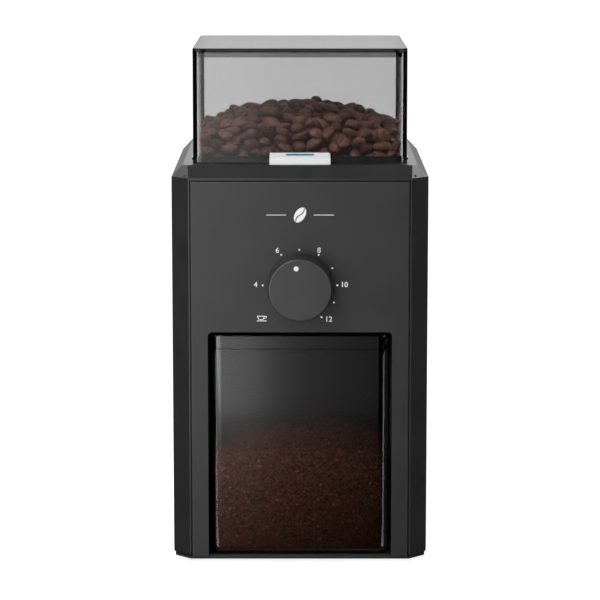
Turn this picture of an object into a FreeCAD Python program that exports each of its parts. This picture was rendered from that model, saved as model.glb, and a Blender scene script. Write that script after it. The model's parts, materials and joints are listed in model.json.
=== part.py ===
"""Burr coffee grinder: counter-top electric grinder with a bean hopper on top, a front dose dial,
a side fineness dial, a disc burr set driven through two gear stages, and a pull-out grounds container.

Millimetres, +Z up, +X to the user's right, the user stands at -Y.
The origin is the centre of the bounding box's base, on the table.
"""
import FreeCAD
import Part

import math
import os

V = FreeCAD.Vector
X_AXIS, Y_AXIS, Z_AXIS = V(1, 0, 0), V(0, 1, 0), V(0, 0, 1)

# ---------------------------------------------------------------- overall sizes
BODY_W = 130.0            # housing width, side wall to side wall
BODY_D = 158.0            # housing depth, front face to back face
DIAL_PROUD = 12.0         # how far the dose dial stands in front of the front face
FOOT_H = 2.0              # rubber feet below the base plate
SHOULDER_Z = 198.5        # where the upright walls end and the sloped crown starts
CROWN_H = 6.0             # height of the sloped crown
HOPPER_H = 56.1           # clear hopper walls above the crown
HOPPER_LID_T = 2.1        # hopper lid plate
CORNER = 8.7              # 45 degree flats on the housing's upright corners
WALL = 2.4                # moulded wall of the housing
GAP = 0.4                 # general clearance between separate mouldings
SLIP = 0.15               # close clearance between a piece and its seat

TOP_Z = SHOULDER_Z + CROWN_H
FRONT_Y = -(BODY_D + DIAL_PROUD) / 2 + DIAL_PROUD
BACK_Y = FRONT_Y + BODY_D
HALF_W = BODY_W / 2

# ---------------------------------------------------------------- base
SCREW_R, SCREW_L = 1.3, 12.0      # case screws
SCREW_PILOT = SCREW_R + 0.05      # bore that a screw cuts its thread in
SCREW_PASS = SCREW_R + 0.3        # bore that a screw passes through
HEAD_PASS = 1.9 * SCREW_R + 0.4
BASE_T = 1.6              # base plate
BASE_INSET = 0.8          # base plate's edge inside the housing's outline
BASE_LIP = 1.0            # part of the base plate that shows below the housing
FOOT_R = 6.0
FOOT_WEB = 0.9            # rubber under the screw's head
FOOT_INSET = 17.0         # foot centres inside the front and back faces
FOOT_SINK = 0.6           # feet let into the base plate
BASE_TOP = FOOT_H + BASE_T
HOUSING_Z = FOOT_H + BASE_LIP

# ---------------------------------------------------------------- front panel, bay and container
PANEL_HALF = 55.2         # half the front panel's width
PANEL_T = 2.4
PANEL_GROOVE = 0.5        # shadow line round the front panel
RIM_H = 1.1               # housing edge above the front panel
CONT_W, CONT_D = 92.0, 85.0
CONT_WALL = 2.0
CONT_R = 6.0              # upright corners
CONT_FOOT_R = 4.5         # rounding round the container's base
CONT_Z = BASE_TOP + 0.3
CONT_RIM_Z = 111.3
CONT_SETBACK = 0.3        # container's front behind the front panel
CLID_GAP = 1.0            # shadow line between container and its lid
CLID_Z = 118.6            # top of the container lid
CLID_T = 2.0
BAY_SIDE_GAP = 0.8
BAY_TOP_GAP = 1.5
BAY_BACK_GAP = 2.5
BAY_WALL = 1.6
BAY_R = 2.4               # rounding of the bay mouth's upper corners
BAY_HALF = CONT_W / 2 + BAY_SIDE_GAP
BAY_TOP = CLID_Z + BAY_TOP_GAP
CONT_Y0 = FRONT_Y + CONT_SETBACK
CONT_Y1 = CONT_Y0 + CONT_D
BAY_BACK = CONT_Y1 + BAY_BACK_GAP
FOOT_X = (BAY_HALF + BAY_WALL + HALF_W - WALL) / 2
GROUNDS_FRONT_H = 50.0    # depth of ground coffee against the front wall
GROUNDS_HEAP_H = 14.0     # how much the heap rises behind that

POST_R = 3.4              # posts that the base screws go into

# ---------------------------------------------------------------- hopper
HOPPER_W, HOPPER_D = 108.8, 114.5
HOPPER_SETBACK = 14.0     # hopper's front wall behind the front face
HOPPER_WALL = 2.2
HOPPER_R = 4.6            # upright corners, outside
HOPPER_RI = 2.5           # upright corners, inside
HOPPER_SEAT = 1.2         # depth of the groove that the hopper stands in
BEAD = 0.6                # snap bead round the outside of the hopper
BEAD_UP = 2.3             # bead above the crown
PLINTH_H = 3.5            # raised rim of the funnel inside the hopper
FUNNEL_T = 1.8
HOPPER_Y0 = FRONT_Y + HOPPER_SETBACK
HOPPER_Y1 = HOPPER_Y0 + HOPPER_D
HOPPER_TOP = TOP_Z + HOPPER_H
LID_LIP = 2.5             # locating lip under the hopper lid
LID_LIP_T = 1.4
BEANS_WALL_H = 14.0       # height of the beans against the walls above the plinth
BEANS_HEAP_H = 11.0       # how much the heap rises in the middle

# ---------------------------------------------------------------- drive train
BURR_Y = (HOPPER_Y0 + HOPPER_Y1) / 2      # burr shaft, under the middle of the hopper
MOTOR_Y = BURR_Y + 52.0                   # motor, behind the container bay
DECK_T = 2.5
DECK_Z = BAY_TOP
DECK_TOP = DECK_Z + DECK_T
GBOX_T = 3.0              # gearbox base plate
M1, M2 = 0.8, 1.0         # gear modules of the two stages
PRESSURE = math.radians(25)
BACKLASH = 0.12
Z_MOTOR, Z_BIG = 12, 50   # first stage
Z_SMALL, Z_OUT = 12, 52   # second stage
GEAR1_T, GEAR2_T = 6.0, 8.0
SHAFT_R = 4.0             # burr shaft
PIN_R = 2.0               # intermediate gear's pin
MSHAFT_R = 2.0            # motor shaft
RUN = 0.05                # radial running clearance
BUSH_R = 7.0
MOTOR_R, MOTOR_L = 23.0, 70.0
CAP_L = 10.0
FAN_R = 20.0

GBOX_TOP = DECK_TOP + GBOX_T
GEAR1_Z = GBOX_TOP + 2.0
GEAR2_Z = GEAR1_Z + GEAR1_T + 2.0
FLOOR_Z = GEAR2_Z + GEAR2_T + 3.5         # underside of the grinding chamber's floor
FLOOR_T = 3.0
CHAMBER_Z = FLOOR_Z + FLOOR_T
R_STAGE1 = M1 * (Z_MOTOR + Z_BIG) / 2
R_STAGE2 = M2 * (Z_SMALL + Z_OUT) / 2
SPAN = MOTOR_Y - BURR_Y
IDLER_BACK = (R_STAGE1 ** 2 - R_STAGE2 ** 2 + SPAN ** 2) / (2 * SPAN)
IDLER_X = math.sqrt(R_STAGE1 ** 2 - IDLER_BACK ** 2)
IDLER_Y = MOTOR_Y - IDLER_BACK

# ---------------------------------------------------------------- burrs and fineness adjuster
CHAMBER_R = 31.0
CHAMBER_WALL = 2.5
CHAMBER_H = 19.5
KEY_HALF = 2.0            # keys that stop the upper burr carrier turning
ROTOR_T = 6.0
BURR_R, BURR_BORE, LOWER_BORE = 26.0, 14.0, 11.0
BURR_T = 6.5
BURR_GAP = 0.8            # between the burrs at rest
BURR_TEETH = 24
CARRIER_R = 30.0
CARRIER_T = 8.0
RING_R = 42.0             # adjuster ring's flange
RING_T = 6.0
FLANGE_T = 3.0
M_CROWN = 1.0
Z_PINION, Z_CROWN = 12, 80
CROWN_TEETH = 15          # only the sector that the pinion can reach is cut
CROWN_FACE = 2.6
KNOB2_R = 16.2            # fineness dial on the right side
KNOB2_T = 5.8
KNOB2_NOTCHES = 30
CUP_DEPTH = 6.5
CUP_WALL = 1.6
FSHAFT_R = 3.0
CHAMBER_TOP = CHAMBER_Z + CHAMBER_H
RING_Z = CHAMBER_TOP + 0.3
ROTOR_Z = CHAMBER_Z + 1.5
LOWER_BURR_Z = ROTOR_Z + ROTOR_T
NUT_Z, NUT_H, NUT_R = LOWER_BURR_Z + 3.0, 7.0, 7.0
NUT_TOP = NUT_Z + NUT_H + 1.5
UPPER_BURR_Z = LOWER_BURR_Z + BURR_T + BURR_GAP
CARRIER_Z = UPPER_BURR_Z + BURR_T
KEY_R = CHAMBER_R + 1.2
KEY_TOP = CHAMBER_TOP - 1.4
CROWN_R = M_CROWN * Z_CROWN / 2
CROWN_BODY_Z = RING_Z + RING_T - FLANGE_T
CROWN_PITCH_Z = CROWN_BODY_Z - 1.25 * M_CROWN
PINION_Z = CROWN_PITCH_Z - M_CROWN * Z_PINION / 2
CUP_FLOOR_X = HALF_W - CUP_DEPTH - 2.0

NECK_R, NECK_L = 24.0, 6.0        # funnel's neck above the burrs
NECK_Z = CARRIER_Z + CARRIER_T + NECK_L + 3.5
RIM_Z = TOP_Z + PLINTH_H

# ---------------------------------------------------------------- chute
CHUTE_HALF = 13.0
CHUTE_WALL = 1.5
CHUTE_D = 16.0
CHUTE_H = 12.0            # window from the chamber into the chute
CHUTE_Y1 = BURR_Y - CHAMBER_R - CHAMBER_WALL - 1.5
CHUTE_Y0 = CHUTE_Y1 - CHUTE_D
CHUTE_BOTTOM = CLID_Z + 0.8

# ---------------------------------------------------------------- controls
DIAL_Z = 143.4
DIAL_R0, DIAL_R1 = 17.1, 15.7      # at the panel, at the front
DIAL_REST = -10.0                  # pointer at rest, degrees clockwise from straight up
DIAL_DOT_AT = 11.1
DIAL_DOT_R = 1.25
DIAL_SHAFT_R = 3.0
POT_R, POT_T, POT_NECK_R, POT_NUT_T = 8.5, 6.0, 3.7, 1.8
BOARD_T, SNAP_R = 1.6, 1.3
BOARD_HALF, BOARD_Z0, BOARD_Z1 = 30.0, DECK_TOP + 3.0, DECK_TOP + 50.0
BOARD_Y = FRONT_Y + PANEL_T + POT_T + 0.6
BUTTON_HALF, BUTTON_D = 15.4, 5.5
BUTTON_FRONT_H, BUTTON_BACK_H = 3.4, 6.0
BUTTON_TRAVEL = 1.5
BUTTON_Y0 = HOPPER_Y0 - 1.1 - BUTTON_D
STEM_R = 1.6
GUIDE_Z = TOP_Z - 14.3             # underside of the button's guide plate
GUIDE_T = 1.8
SWITCH_H = 10.0
PLUNGER_UP = 2.2
SPRING_R, WIRE_R, SPRING_TURNS = 2.2, 0.3, 6
SAFETY_X, SAFETY_Z = 35.0, 70.0
SAFETY_R = 2.0
TERMINAL_Y = BACK_Y - 24.0
WIRE_Y = BACK_Y - 40.0    # where the mains wires pass the deck
GLAND_X, GLAND_Z, GLAND_R, GLAND_BORE, GLAND_L = -38.0, 18.0, 6.0, 3.6, 10.0


# ================================================================ shape helpers
def box(x0, x1, y0, y1, z0, z1):
    return Part.makeBox(x1 - x0, y1 - y0, z1 - z0, V(x0, y0, z0))


def cyl(x, y, z0, z1, r):
    return Part.makeCylinder(r, z1 - z0, V(x, y, z0), Z_AXIS)


def cyl_x(x0, x1, y, z, r):
    return Part.makeCylinder(r, x1 - x0, V(x0, y, z), X_AXIS)


def cyl_y(y0, y1, x, z, r):
    return Part.makeCylinder(r, y1 - y0, V(x, y0, z), Y_AXIS)


def tube(x, y, z0, z1, r_out, r_in):
    return cyl(x, y, z0, z1, r_out).cut(cyl(x, y, z0 - 1, z1 + 1, r_in))


def fuse(shapes):
    shape = shapes[0].multiFuse(shapes[1:]) if len(shapes) > 1 else shapes[0]
    return shape.removeSplitter()


def rounded_wire(x0, x1, y0, y1, z, r):
    """Rounded rectangle as a closed wire: four lines and four quarter arcs."""
    k = r * (1 - math.sqrt(0.5))
    edges = [
        Part.LineSegment(V(x0 + r, y0, z), V(x1 - r, y0, z)),
        Part.Arc(V(x1 - r, y0, z), V(x1 - k, y0 + k, z), V(x1, y0 + r, z)),
        Part.LineSegment(V(x1, y0 + r, z), V(x1, y1 - r, z)),
        Part.Arc(V(x1, y1 - r, z), V(x1 - k, y1 - k, z), V(x1 - r, y1, z)),
        Part.LineSegment(V(x1 - r, y1, z), V(x0 + r, y1, z)),
        Part.Arc(V(x0 + r, y1, z), V(x0 + k, y1 - k, z), V(x0, y1 - r, z)),
        Part.LineSegment(V(x0, y1 - r, z), V(x0, y0 + r, z)),
        Part.Arc(V(x0, y0 + r, z), V(x0 + k, y0 + k, z), V(x0 + r, y0, z)),
    ]
    return Part.Wire([e.toShape() for e in edges])


def rounded_prism(x0, x1, y0, y1, z0, z1, r):
    return Part.Face(rounded_wire(x0, x1, y0, y1, z0, r)).extrude(V(0, 0, z1 - z0))


def octagon(inset, z):
    """The housing's outline, moved inwards by inset, as corner points at height z."""
    x = HALF_W - inset
    y0, y1 = FRONT_Y + inset, BACK_Y - inset
    c = CORNER - inset * (2 - math.sqrt(2))
    return [V(x - c, y0, z), V(x, y0 + c, z), V(x, y1 - c, z), V(x - c, y1, z),
            V(c - x, y1, z), V(-x, y1 - c, z), V(-x, y0 + c, z), V(c - x, y0, z)]


def polygon(points):
    return Part.makePolygon(points + [points[0]])


def octagon_prism(inset, z0, z1):
    return Part.Face(polygon(octagon(inset, z0))).extrude(V(0, 0, z1 - z0))


def crown_points(inset, z):
    """Top outline of the sloped crown. Its corner flats are much shorter than those of the walls."""
    x = HALF_W - CROWN_H + 0.3 - inset
    y0, y1 = FRONT_Y + CROWN_H + 0.6 + inset, BACK_Y - CROWN_H - 0.6 - inset
    c = 2.6
    return [V(x - c, y0, z), V(x, y0 + c, z), V(x, y1 - c, z), V(x - c, y1, z),
            V(c - x, y1, z), V(-x, y1 - c, z), V(-x, y0 + c, z), V(c - x, y0, z)]


def crown_solid(inset, z0, z1):
    """Straight-sided solid between the wall outline at z0 and the smaller top outline at z1."""
    return Part.makeLoft([polygon(octagon(inset, z0)), polygon(crown_points(inset, z1))], True, True)


def spun(shape, x, y, angle):
    turned = shape.copy()
    turned.rotate(V(x, y, 0), Z_AXIS, angle)
    return turned


def screw(x, y, seat_z, length=SCREW_L, down=True):
    """Pan-head screw along Z with a cross recess; its head's underside is at seat_z."""
    head_r, head_h = 1.9 * SCREW_R, 1.2 * SCREW_R
    arm, slot = 0.75 * head_r, 0.16 * head_r
    body = cyl(x, y, -length, 0, SCREW_R).fuse(cyl(x, y, 0, head_h, head_r))
    for half_x, half_y in ((arm, slot), (slot, arm)):
        body = body.cut(box(x - half_x, x + half_x, y - half_y, y + half_y, head_h / 2, head_h + 1))
    if not down:
        body = body.mirror(V(0, 0, 0), Z_AXIS)
    body.translate(V(0, 0, seat_z))
    return body.removeSplitter()


def route(points, r):
    """Round wire along straight runs joined by tangent arcs, each as large as its two runs allow."""
    pts = [V(*p) for p in points]
    edges, start = [], pts[0]
    for before, at, after in zip(pts, pts[1:], pts[2:]):
        a, b = (before - at), (after - at)
        reach = 0.45 * min(a.Length, b.Length)
        a.normalize()
        b.normalize()
        p, q = at + a * reach, at + b * reach
        half = (math.pi - a.getAngle(b)) / 2
        depth = reach * (1 / math.cos(half) - 1) / math.tan(half)
        bulge = (a + b).normalize() * depth
        edges += [Part.LineSegment(start, p), Part.Arc(p, at + bulge, q)]
        start = q
    edges.append(Part.LineSegment(start, pts[-1]))
    path = Part.Wire([e.toShape() for e in edges])
    along = (pts[1] - pts[0]).normalize()
    section = Part.Wire([Part.Circle(pts[0], along, r).toShape()])
    return path.makePipeShell([section], True, False)


# ================================================================ gears
def involute_outline(module, teeth, z, phase=0.0):
    """Spur gear outline: involute flanks from the base or root circle to the tip, thinned for backlash."""
    pitch = module * teeth / 2
    base = pitch * math.cos(PRESSURE)
    tip, root = pitch + module, pitch - 1.25 * module
    inv = math.tan(PRESSURE) - PRESSURE
    half = math.pi / (2 * teeth) - BACKLASH / (2 * pitch)
    flank = []
    for i in range(6):
        r = max(base, root) + (tip - max(base, root)) * i / 5
        a = math.acos(min(1.0, base / r))
        flank.append((r, half + inv - (math.tan(a) - a)))
    if root < base:
        flank.insert(0, (root, flank[0][1]))
    points = []
    for t in range(teeth):
        centre = phase + 2 * math.pi * t / teeth
        points += [(r, centre - a) for r, a in flank]
        points += [(r, centre + a) for r, a in reversed(flank)]
    return [V(r * math.cos(a), r * math.sin(a), z) for r, a in points]


def gear(module, teeth, x, y, z, thickness, phase=0.0):
    solid = Part.Face(polygon(involute_outline(module, teeth, 0, phase))).extrude(V(0, 0, thickness))
    solid.translate(V(x, y, z))
    return solid


def mesh_phase(teeth_a, phase_a, teeth_b, direction):
    """Phase of gear b so that its tooth space faces a tooth of gear a across the line at direction."""
    tooth_a = (direction - phase_a) * teeth_a / (2 * math.pi)
    offset = tooth_a - math.floor(tooth_a)
    return direction + math.pi + (offset - 0.5) * 2 * math.pi / teeth_b


# ================================================================ housing and base
def main_housing():
    outer = fuse([
        Part.makeLoft([polygon(octagon(1.2, HOUSING_Z)), polygon(octagon(0, HOUSING_Z + 1.8))], True, True),
        octagon_prism(0, HOUSING_Z + 1.8, SHOULDER_Z),
        crown_solid(0, SHOULDER_Z, TOP_Z),
    ])
    inner = octagon_prism(WALL, HOUSING_Z - 1, SHOULDER_Z).fuse(crown_solid(WALL, SHOULDER_Z, TOP_Z - WALL))
    shell = outer.cut(inner)
    opening = box(-PANEL_HALF - PANEL_GROOVE, PANEL_HALF + PANEL_GROOVE, FRONT_Y - 1, FRONT_Y + WALL + 0.1,
                  HOUSING_Z - 1, SHOULDER_Z - RIM_H)
    shell = shell.cut(opening)
    # Flange behind the front panel, on both sides and above it.
    y0, y1 = FRONT_Y + PANEL_T + 0.1, FRONT_Y + PANEL_T + 2.1
    edge = BAY_HALF + BAY_WALL + 2.0
    side = HALF_W - WALL - 4.0
    flange = [box(s0, s1, y0, y1, HOUSING_Z + 3, SHOULDER_Z - 1)
              for s0, s1 in ((-side, -edge), (edge, side))]
    flange.append(box(-side, side, y0, y1, SHOULDER_Z - 6.5, SHOULDER_Z + 1.5))
    # Hopper groove, funnel opening and button slot in the top.
    groove = rounded_prism(-HOPPER_W / 2 - SLIP, HOPPER_W / 2 + SLIP, HOPPER_Y0 - SLIP, HOPPER_Y1 + SLIP,
                           TOP_Z - HOPPER_SEAT, TOP_Z + 1, HOPPER_R + SLIP)
    inner_w, inner_y0, inner_y1 = hopper_inside(SLIP)
    groove = groove.cut(rounded_prism(-inner_w, inner_w, inner_y0, inner_y1, TOP_Z - 5, TOP_Z + 2, HOPPER_RI))
    mouth_w, mouth_y0, mouth_y1 = hopper_inside(3.3)
    mouth = rounded_prism(-mouth_w, mouth_w, mouth_y0, mouth_y1, TOP_Z - WALL - 1, TOP_Z + 1, 4.0)
    slot = box(-BUTTON_HALF - 0.3, BUTTON_HALF + 0.3, BUTTON_Y0 - 0.3, BUTTON_Y0 + BUTTON_D + 0.3,
               TOP_Z - WALL - BUTTON_TRAVEL - 1, TOP_Z + 1)
    shell = fuse([shell] + flange).cut(groove).cut(mouth).cut(slot)
    # Bosses under the chassis deck.
    bosses = []
    for x, y in boss_places():
        bosses.append(cyl(x, y, DECK_Z - 16, DECK_Z, 4.0).fuse(
            box(min(x, math.copysign(HALF_W - 1, x)), max(x, math.copysign(HALF_W - 1, x)),
                y - 1.2, y + 1.2, DECK_Z - 16, DECK_Z)))
    shell = fuse([shell] + bosses)
    for x, y in boss_places():
        shell = shell.cut(cyl(x, y, DECK_Z - SCREW_L, DECK_Z + 1, SCREW_PILOT))
    # Cup for the fineness dial in the right wall.
    cup = cyl_x(CUP_FLOOR_X, HALF_W, BURR_Y, PINION_Z, KNOB2_R + GAP + CUP_WALL)
    hollow = cyl_x(CUP_FLOOR_X + 2.0, HALF_W + 1, BURR_Y, PINION_Z, KNOB2_R + GAP)
    shaft_hole = cyl_x(CUP_FLOOR_X - 1, HALF_W, BURR_Y, PINION_Z, FSHAFT_R + 0.2)
    shell = shell.fuse(cup).cut(hollow).cut(shaft_hole)
    # Cooling louvres and the gland's hole in the back wall.
    for i in range(8):
        z = 58.0 + 6.0 * i
        shell = shell.cut(box(-26, 26, BACK_Y - WALL - 1, BACK_Y + 1, z, z + 2.4))
    shell = shell.cut(cyl_y(BACK_Y - WALL - 1, BACK_Y + 1, GLAND_X, GLAND_Z, GLAND_R + 0.1))
    return shell.removeSplitter()


def hopper_inside(inset):
    """Half width and the two Y limits of the hopper's inside, moved inwards by inset."""
    return (HOPPER_W / 2 - HOPPER_WALL - inset, HOPPER_Y0 + HOPPER_WALL + inset,
            HOPPER_Y1 - HOPPER_WALL - inset)


def boss_places():
    x = HALF_W - WALL - 3.4
    return [(s * x, y) for y in (FRONT_Y + 18, BACK_Y - 27) for s in (-1, 1)]


def front_panel():
    """Moulded front: a cosmetic face with posts behind it that the control board snaps onto."""
    z0, z1 = HOUSING_Z + 0.2, SHOULDER_Z - RIM_H - PANEL_GROOVE
    plate = box(-PANEL_HALF, PANEL_HALF, FRONT_Y, FRONT_Y + PANEL_T, z0, z1)
    plate = plate.makeFillet(0.5, [e for e in plate.Edges if e.BoundBox.YMax < FRONT_Y + 0.01])
    bay = rounded_prism(-BAY_HALF, BAY_HALF, -BAY_TOP, 0, 0, 3 * PANEL_T, BAY_R)
    bay = bay.fuse(box(-BAY_HALF, BAY_HALF, -BAY_R, 0, 0, 3 * PANEL_T))
    bay.rotate(V(0, 0, 0), X_AXIS, -90)
    bay.translate(V(0, FRONT_Y - PANEL_T, 0))
    plate = plate.cut(bay).cut(cyl_y(FRONT_Y - 1, FRONT_Y + PANEL_T + 1, 0, DIAL_Z, POT_NECK_R + 0.1))
    posts = []
    for x, z in board_post_places():
        y = BOARD_Y + BOARD_T + 0.05
        posts.append(cyl_y(FRONT_Y + PANEL_T - 0.2, BOARD_Y, x, z, 3.0))
        posts.append(cyl_y(BOARD_Y - 1, y + 0.5, x, z, SNAP_R))
        posts.append(Part.makeCone(SNAP_R + 0.5, SNAP_R - 0.4, 1.6, V(x, y, z), Y_AXIS))
    return fuse([plate] + posts)


def base_plate():
    plate = octagon_prism(BASE_INSET, FOOT_H, HOUSING_Z).fuse(octagon_prism(WALL + 0.3, FOOT_H, BASE_TOP))
    rim = octagon_prism(WALL + 0.3, BASE_TOP, BASE_TOP + 4)
    rim = rim.cut(octagon_prism(WALL + 2.1, BASE_TOP - 1, BASE_TOP + 5))
    rim = rim.cut(box(-HALF_W, HALF_W, FRONT_Y - 1, FRONT_Y + CORNER + 6, BASE_TOP - 1, BASE_TOP + 5))
    plate = fuse([plate, rim])
    for x, y in foot_places():
        plate = plate.cut(cyl(x, y, FOOT_H - 1, FOOT_H + FOOT_SINK, FOOT_R + 0.1))
        plate = plate.cut(cyl(x, y, FOOT_H - 1, BASE_TOP + 1, SCREW_PASS))
    for i in range(7):
        x = -18.0 + 6.0 * i
        plate = plate.cut(box(x - 1.2, x + 1.2, MOTOR_Y - 18, MOTOR_Y + 18, FOOT_H - 1, BASE_TOP + 1))
    return plate.removeSplitter()


def foot_places():
    """Foot centres: outside the container bay, near the four corners."""
    return [(s * FOOT_X, y) for y in (FRONT_Y + FOOT_INSET, BACK_Y - FOOT_INSET) for s in (-1, 1)]


def rubber_feet():
    top = FOOT_H + FOOT_SINK
    feet = []
    for x, y in foot_places():
        recess = cyl(x, y, -1, FOOT_H + FOOT_SINK - FOOT_WEB, HEAD_PASS)
        feet.append(cyl(x, y, 0, top, FOOT_R).cut(recess).cut(cyl(x, y, 0, top + 1, SCREW_PASS)))
    return Part.makeCompound(feet)


def case_screws():
    """Identical screws that hold the base plate, the chassis and the gearbox."""
    upwards = [screw(x, y, FOOT_H + FOOT_SINK - FOOT_WEB, down=False) for x, y in foot_places()]
    upwards += [screw(x, y, DECK_TOP, down=False) for x, y in gearbox_screw_places()]
    return Part.makeCompound(upwards + [screw(x, y, DECK_TOP) for x, y in boss_places()])


def chassis():
    """Container bay, the deck above it, and the posts that the base screws go into."""
    y0 = FRONT_Y + PANEL_T + 0.1
    bay = box(-BAY_HALF - BAY_WALL, BAY_HALF + BAY_WALL, y0, BAY_BACK + BAY_WALL, BASE_TOP, DECK_TOP)
    bay = bay.cut(box(-BAY_HALF, BAY_HALF, y0 - 1, BAY_BACK, BASE_TOP - 1, BAY_TOP))
    deck = octagon_prism(WALL + GAP, DECK_Z, DECK_TOP)
    deck = deck.cut(box(-HALF_W, HALF_W, FRONT_Y - 1, FRONT_Y + PANEL_T + 2.5, DECK_Z - 1, DECK_TOP + 1))
    pieces = [bay, deck]
    for x, y in foot_places():
        if y > BAY_BACK:
            pieces.append(cyl(x, y, BASE_TOP, DECK_Z, POST_R))
        else:
            wall_x = math.copysign(BAY_HALF + BAY_WALL / 2, x)
            pieces.append(cyl(x, y, BASE_TOP, 40, POST_R))
            pieces.append(box(min(x, wall_x), max(x, wall_x), y - 1, y + 1, BASE_TOP, 40))
    whole = fuse(pieces)
    whole = whole.cut(box(-BAY_HALF, BAY_HALF, y0 - 1, BAY_BACK, BASE_TOP - 1, BAY_TOP))
    whole = whole.cut(cyl(0, MOTOR_Y, DECK_Z - 1, DECK_TOP + 1, MOTOR_R + 1.0))
    whole = whole.cut(box(-CHUTE_HALF - GAP, CHUTE_HALF + GAP, CHUTE_Y0 - GAP, CHUTE_Y1 + GAP,
                          DECK_Z - 1, DECK_TOP + 1))
    whole = whole.cut(box(-HALF_W, -HALF_W + 14, WIRE_Y - 12, WIRE_Y + 4, DECK_Z - 1, DECK_TOP + 1))
    whole = whole.cut(cyl_y(BAY_BACK - 1, BAY_BACK + BAY_WALL + 1, SAFETY_X, SAFETY_Z, SAFETY_R + 0.3))
    for x, y in foot_places():
        whole = whole.cut(cyl(x, y, BASE_TOP - 1, BASE_TOP + SCREW_L, SCREW_PILOT))
    for x, y in boss_places():
        whole = whole.cut(cyl(x, y, DECK_Z - 1, DECK_TOP + 1, SCREW_PASS))
    for x, y in gearbox_screw_places():
        whole = whole.cut(cyl(x, y, DECK_Z - 1, DECK_TOP + 1, HEAD_PASS))
    return whole.removeSplitter()


def cord_gland():
    """Bush that the mains cord enters through. Its bore is open from the back to the inside."""
    body = cyl_y(BACK_Y - GLAND_L + 1.5, BACK_Y, GLAND_X, GLAND_Z, GLAND_R)
    flange = cyl_y(BACK_Y - WALL - 1.6, BACK_Y - WALL - 0.1, GLAND_X, GLAND_Z, GLAND_R + 1.8)
    bore = cyl_y(BACK_Y - GLAND_L - 1, BACK_Y + 2, GLAND_X, GLAND_Z, GLAND_BORE)
    return fuse([body, flange]).cut(bore)


# ================================================================ hopper
def bean_hopper():
    w = HOPPER_W / 2
    outer = rounded_prism(-w, w, HOPPER_Y0, HOPPER_Y1, TOP_Z - HOPPER_SEAT, HOPPER_TOP, HOPPER_R)
    inner_w, y0, y1 = hopper_inside(0)
    inner = rounded_prism(-inner_w, inner_w, y0, y1, TOP_Z - 5, HOPPER_TOP + 1, HOPPER_RI)
    bead_z = TOP_Z + BEAD_UP
    bead = rounded_prism(-w - BEAD, w + BEAD, HOPPER_Y0 - BEAD, HOPPER_Y1 + BEAD,
                         bead_z - BEAD, bead_z + BEAD, HOPPER_R + BEAD)
    return fuse([outer, bead]).cut(inner)


def hopper_lid():
    w = HOPPER_W / 2
    plate = rounded_prism(-w, w, HOPPER_Y0, HOPPER_Y1, HOPPER_TOP, HOPPER_TOP + HOPPER_LID_T, HOPPER_R)
    top_edges = [e for e in plate.Edges if abs(e.BoundBox.ZMin - HOPPER_TOP - HOPPER_LID_T) < 0.01]
    plate = plate.makeFillet(0.5, top_edges)
    lw, y0, y1 = hopper_inside(0.3)
    lip = rounded_prism(-lw, lw, y0, y1, HOPPER_TOP - LID_LIP, HOPPER_TOP, HOPPER_RI)
    tw, t0, t1 = hopper_inside(0.3 + LID_LIP_T)
    lip = lip.cut(rounded_prism(-tw, tw, t0, t1, HOPPER_TOP - LID_LIP - 1, HOPPER_TOP, HOPPER_RI - LID_LIP_T))
    return fuse([plate, lip])


def funnel_loft(inset, z_top, z_neck, neck_r):
    w, y0, y1 = hopper_inside(inset)
    r = neck_r - 0.25
    neck = rounded_wire(-neck_r, neck_r, BURR_Y - neck_r, BURR_Y + neck_r, z_neck, r)
    return Part.makeLoft([neck, rounded_wire(-w, w, y0, y1, z_top, 6.0)], True, True)


def hopper_funnel():
    """Funnel from the hopper to the burrs, with a three-armed finger guard moulded across its neck."""
    lower = funnel_loft(3.6, TOP_Z - 0.5, NECK_Z - FUNNEL_T, NECK_R + FUNNEL_T)
    w, y0, y1 = hopper_inside(0.3)
    plinth = rounded_prism(-w, w, y0, y1, TOP_Z, RIM_Z, HOPPER_RI)
    w, y0, y1 = hopper_inside(3.6)
    throat = rounded_prism(-w, w, y0, y1, TOP_Z - 0.5, TOP_Z, 6.0)
    neck = cyl(0, BURR_Y, NECK_Z - NECK_L, NECK_Z, NECK_R + FUNNEL_T)
    cavity = funnel_loft(2.2, RIM_Z, NECK_Z, NECK_R).fuse(cyl(0, BURR_Y, NECK_Z - 8, NECK_Z + 0.1, NECK_R))
    w, y0, y1 = hopper_inside(2.2)
    cavity = cavity.fuse(rounded_prism(-w, w, y0, y1, RIM_Z, RIM_Z + 2, 6.0))
    z0, z1 = NECK_Z - 4.5, NECK_Z - 1.5
    arms = [spun(box(3.0, NECK_R + 0.5, BURR_Y - 1.1, BURR_Y + 1.1, z0, z1), 0, BURR_Y, 120 * i + 30)
            for i in range(3)]
    return fuse([fuse([lower, throat, plinth, neck]).cut(cavity), cyl(0, BURR_Y, z0, z1, 5.0)] + arms)


def coffee_beans():
    """The heap of beans as one closed solid: the funnel's shape below, a low roof above."""
    lower = funnel_loft(3.4, RIM_Z, NECK_Z + 0.3, NECK_R - 1.5)
    w, y0, y1 = hopper_inside(0.4)
    z_wall = RIM_Z + BEANS_WALL_H
    middle = rounded_prism(-w, w, y0, y1, RIM_Z + 0.2, z_wall, HOPPER_RI)
    step = rounded_prism(-w + 3.2, w - 3.2, y0 + 3.2, y1 - 3.2, RIM_Z, RIM_Z + 0.2, 6.0)
    slope = 30.0
    roof = Part.makeLoft([rounded_wire(-w, w, y0, y1, z_wall, HOPPER_RI),
                          rounded_wire(-w + slope, w - slope, y0 + slope, y1 - slope,
                                       z_wall + BEANS_HEAP_H, HOPPER_RI)], True, True)
    return fuse([lower, step, middle, roof])


# ================================================================ container
def container_prism(inset, z0, z1, r):
    w = CONT_W / 2 - inset
    return rounded_prism(-w, w, CONT_Y0 + inset, CONT_Y1 - inset, z0, z1, r)


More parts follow.
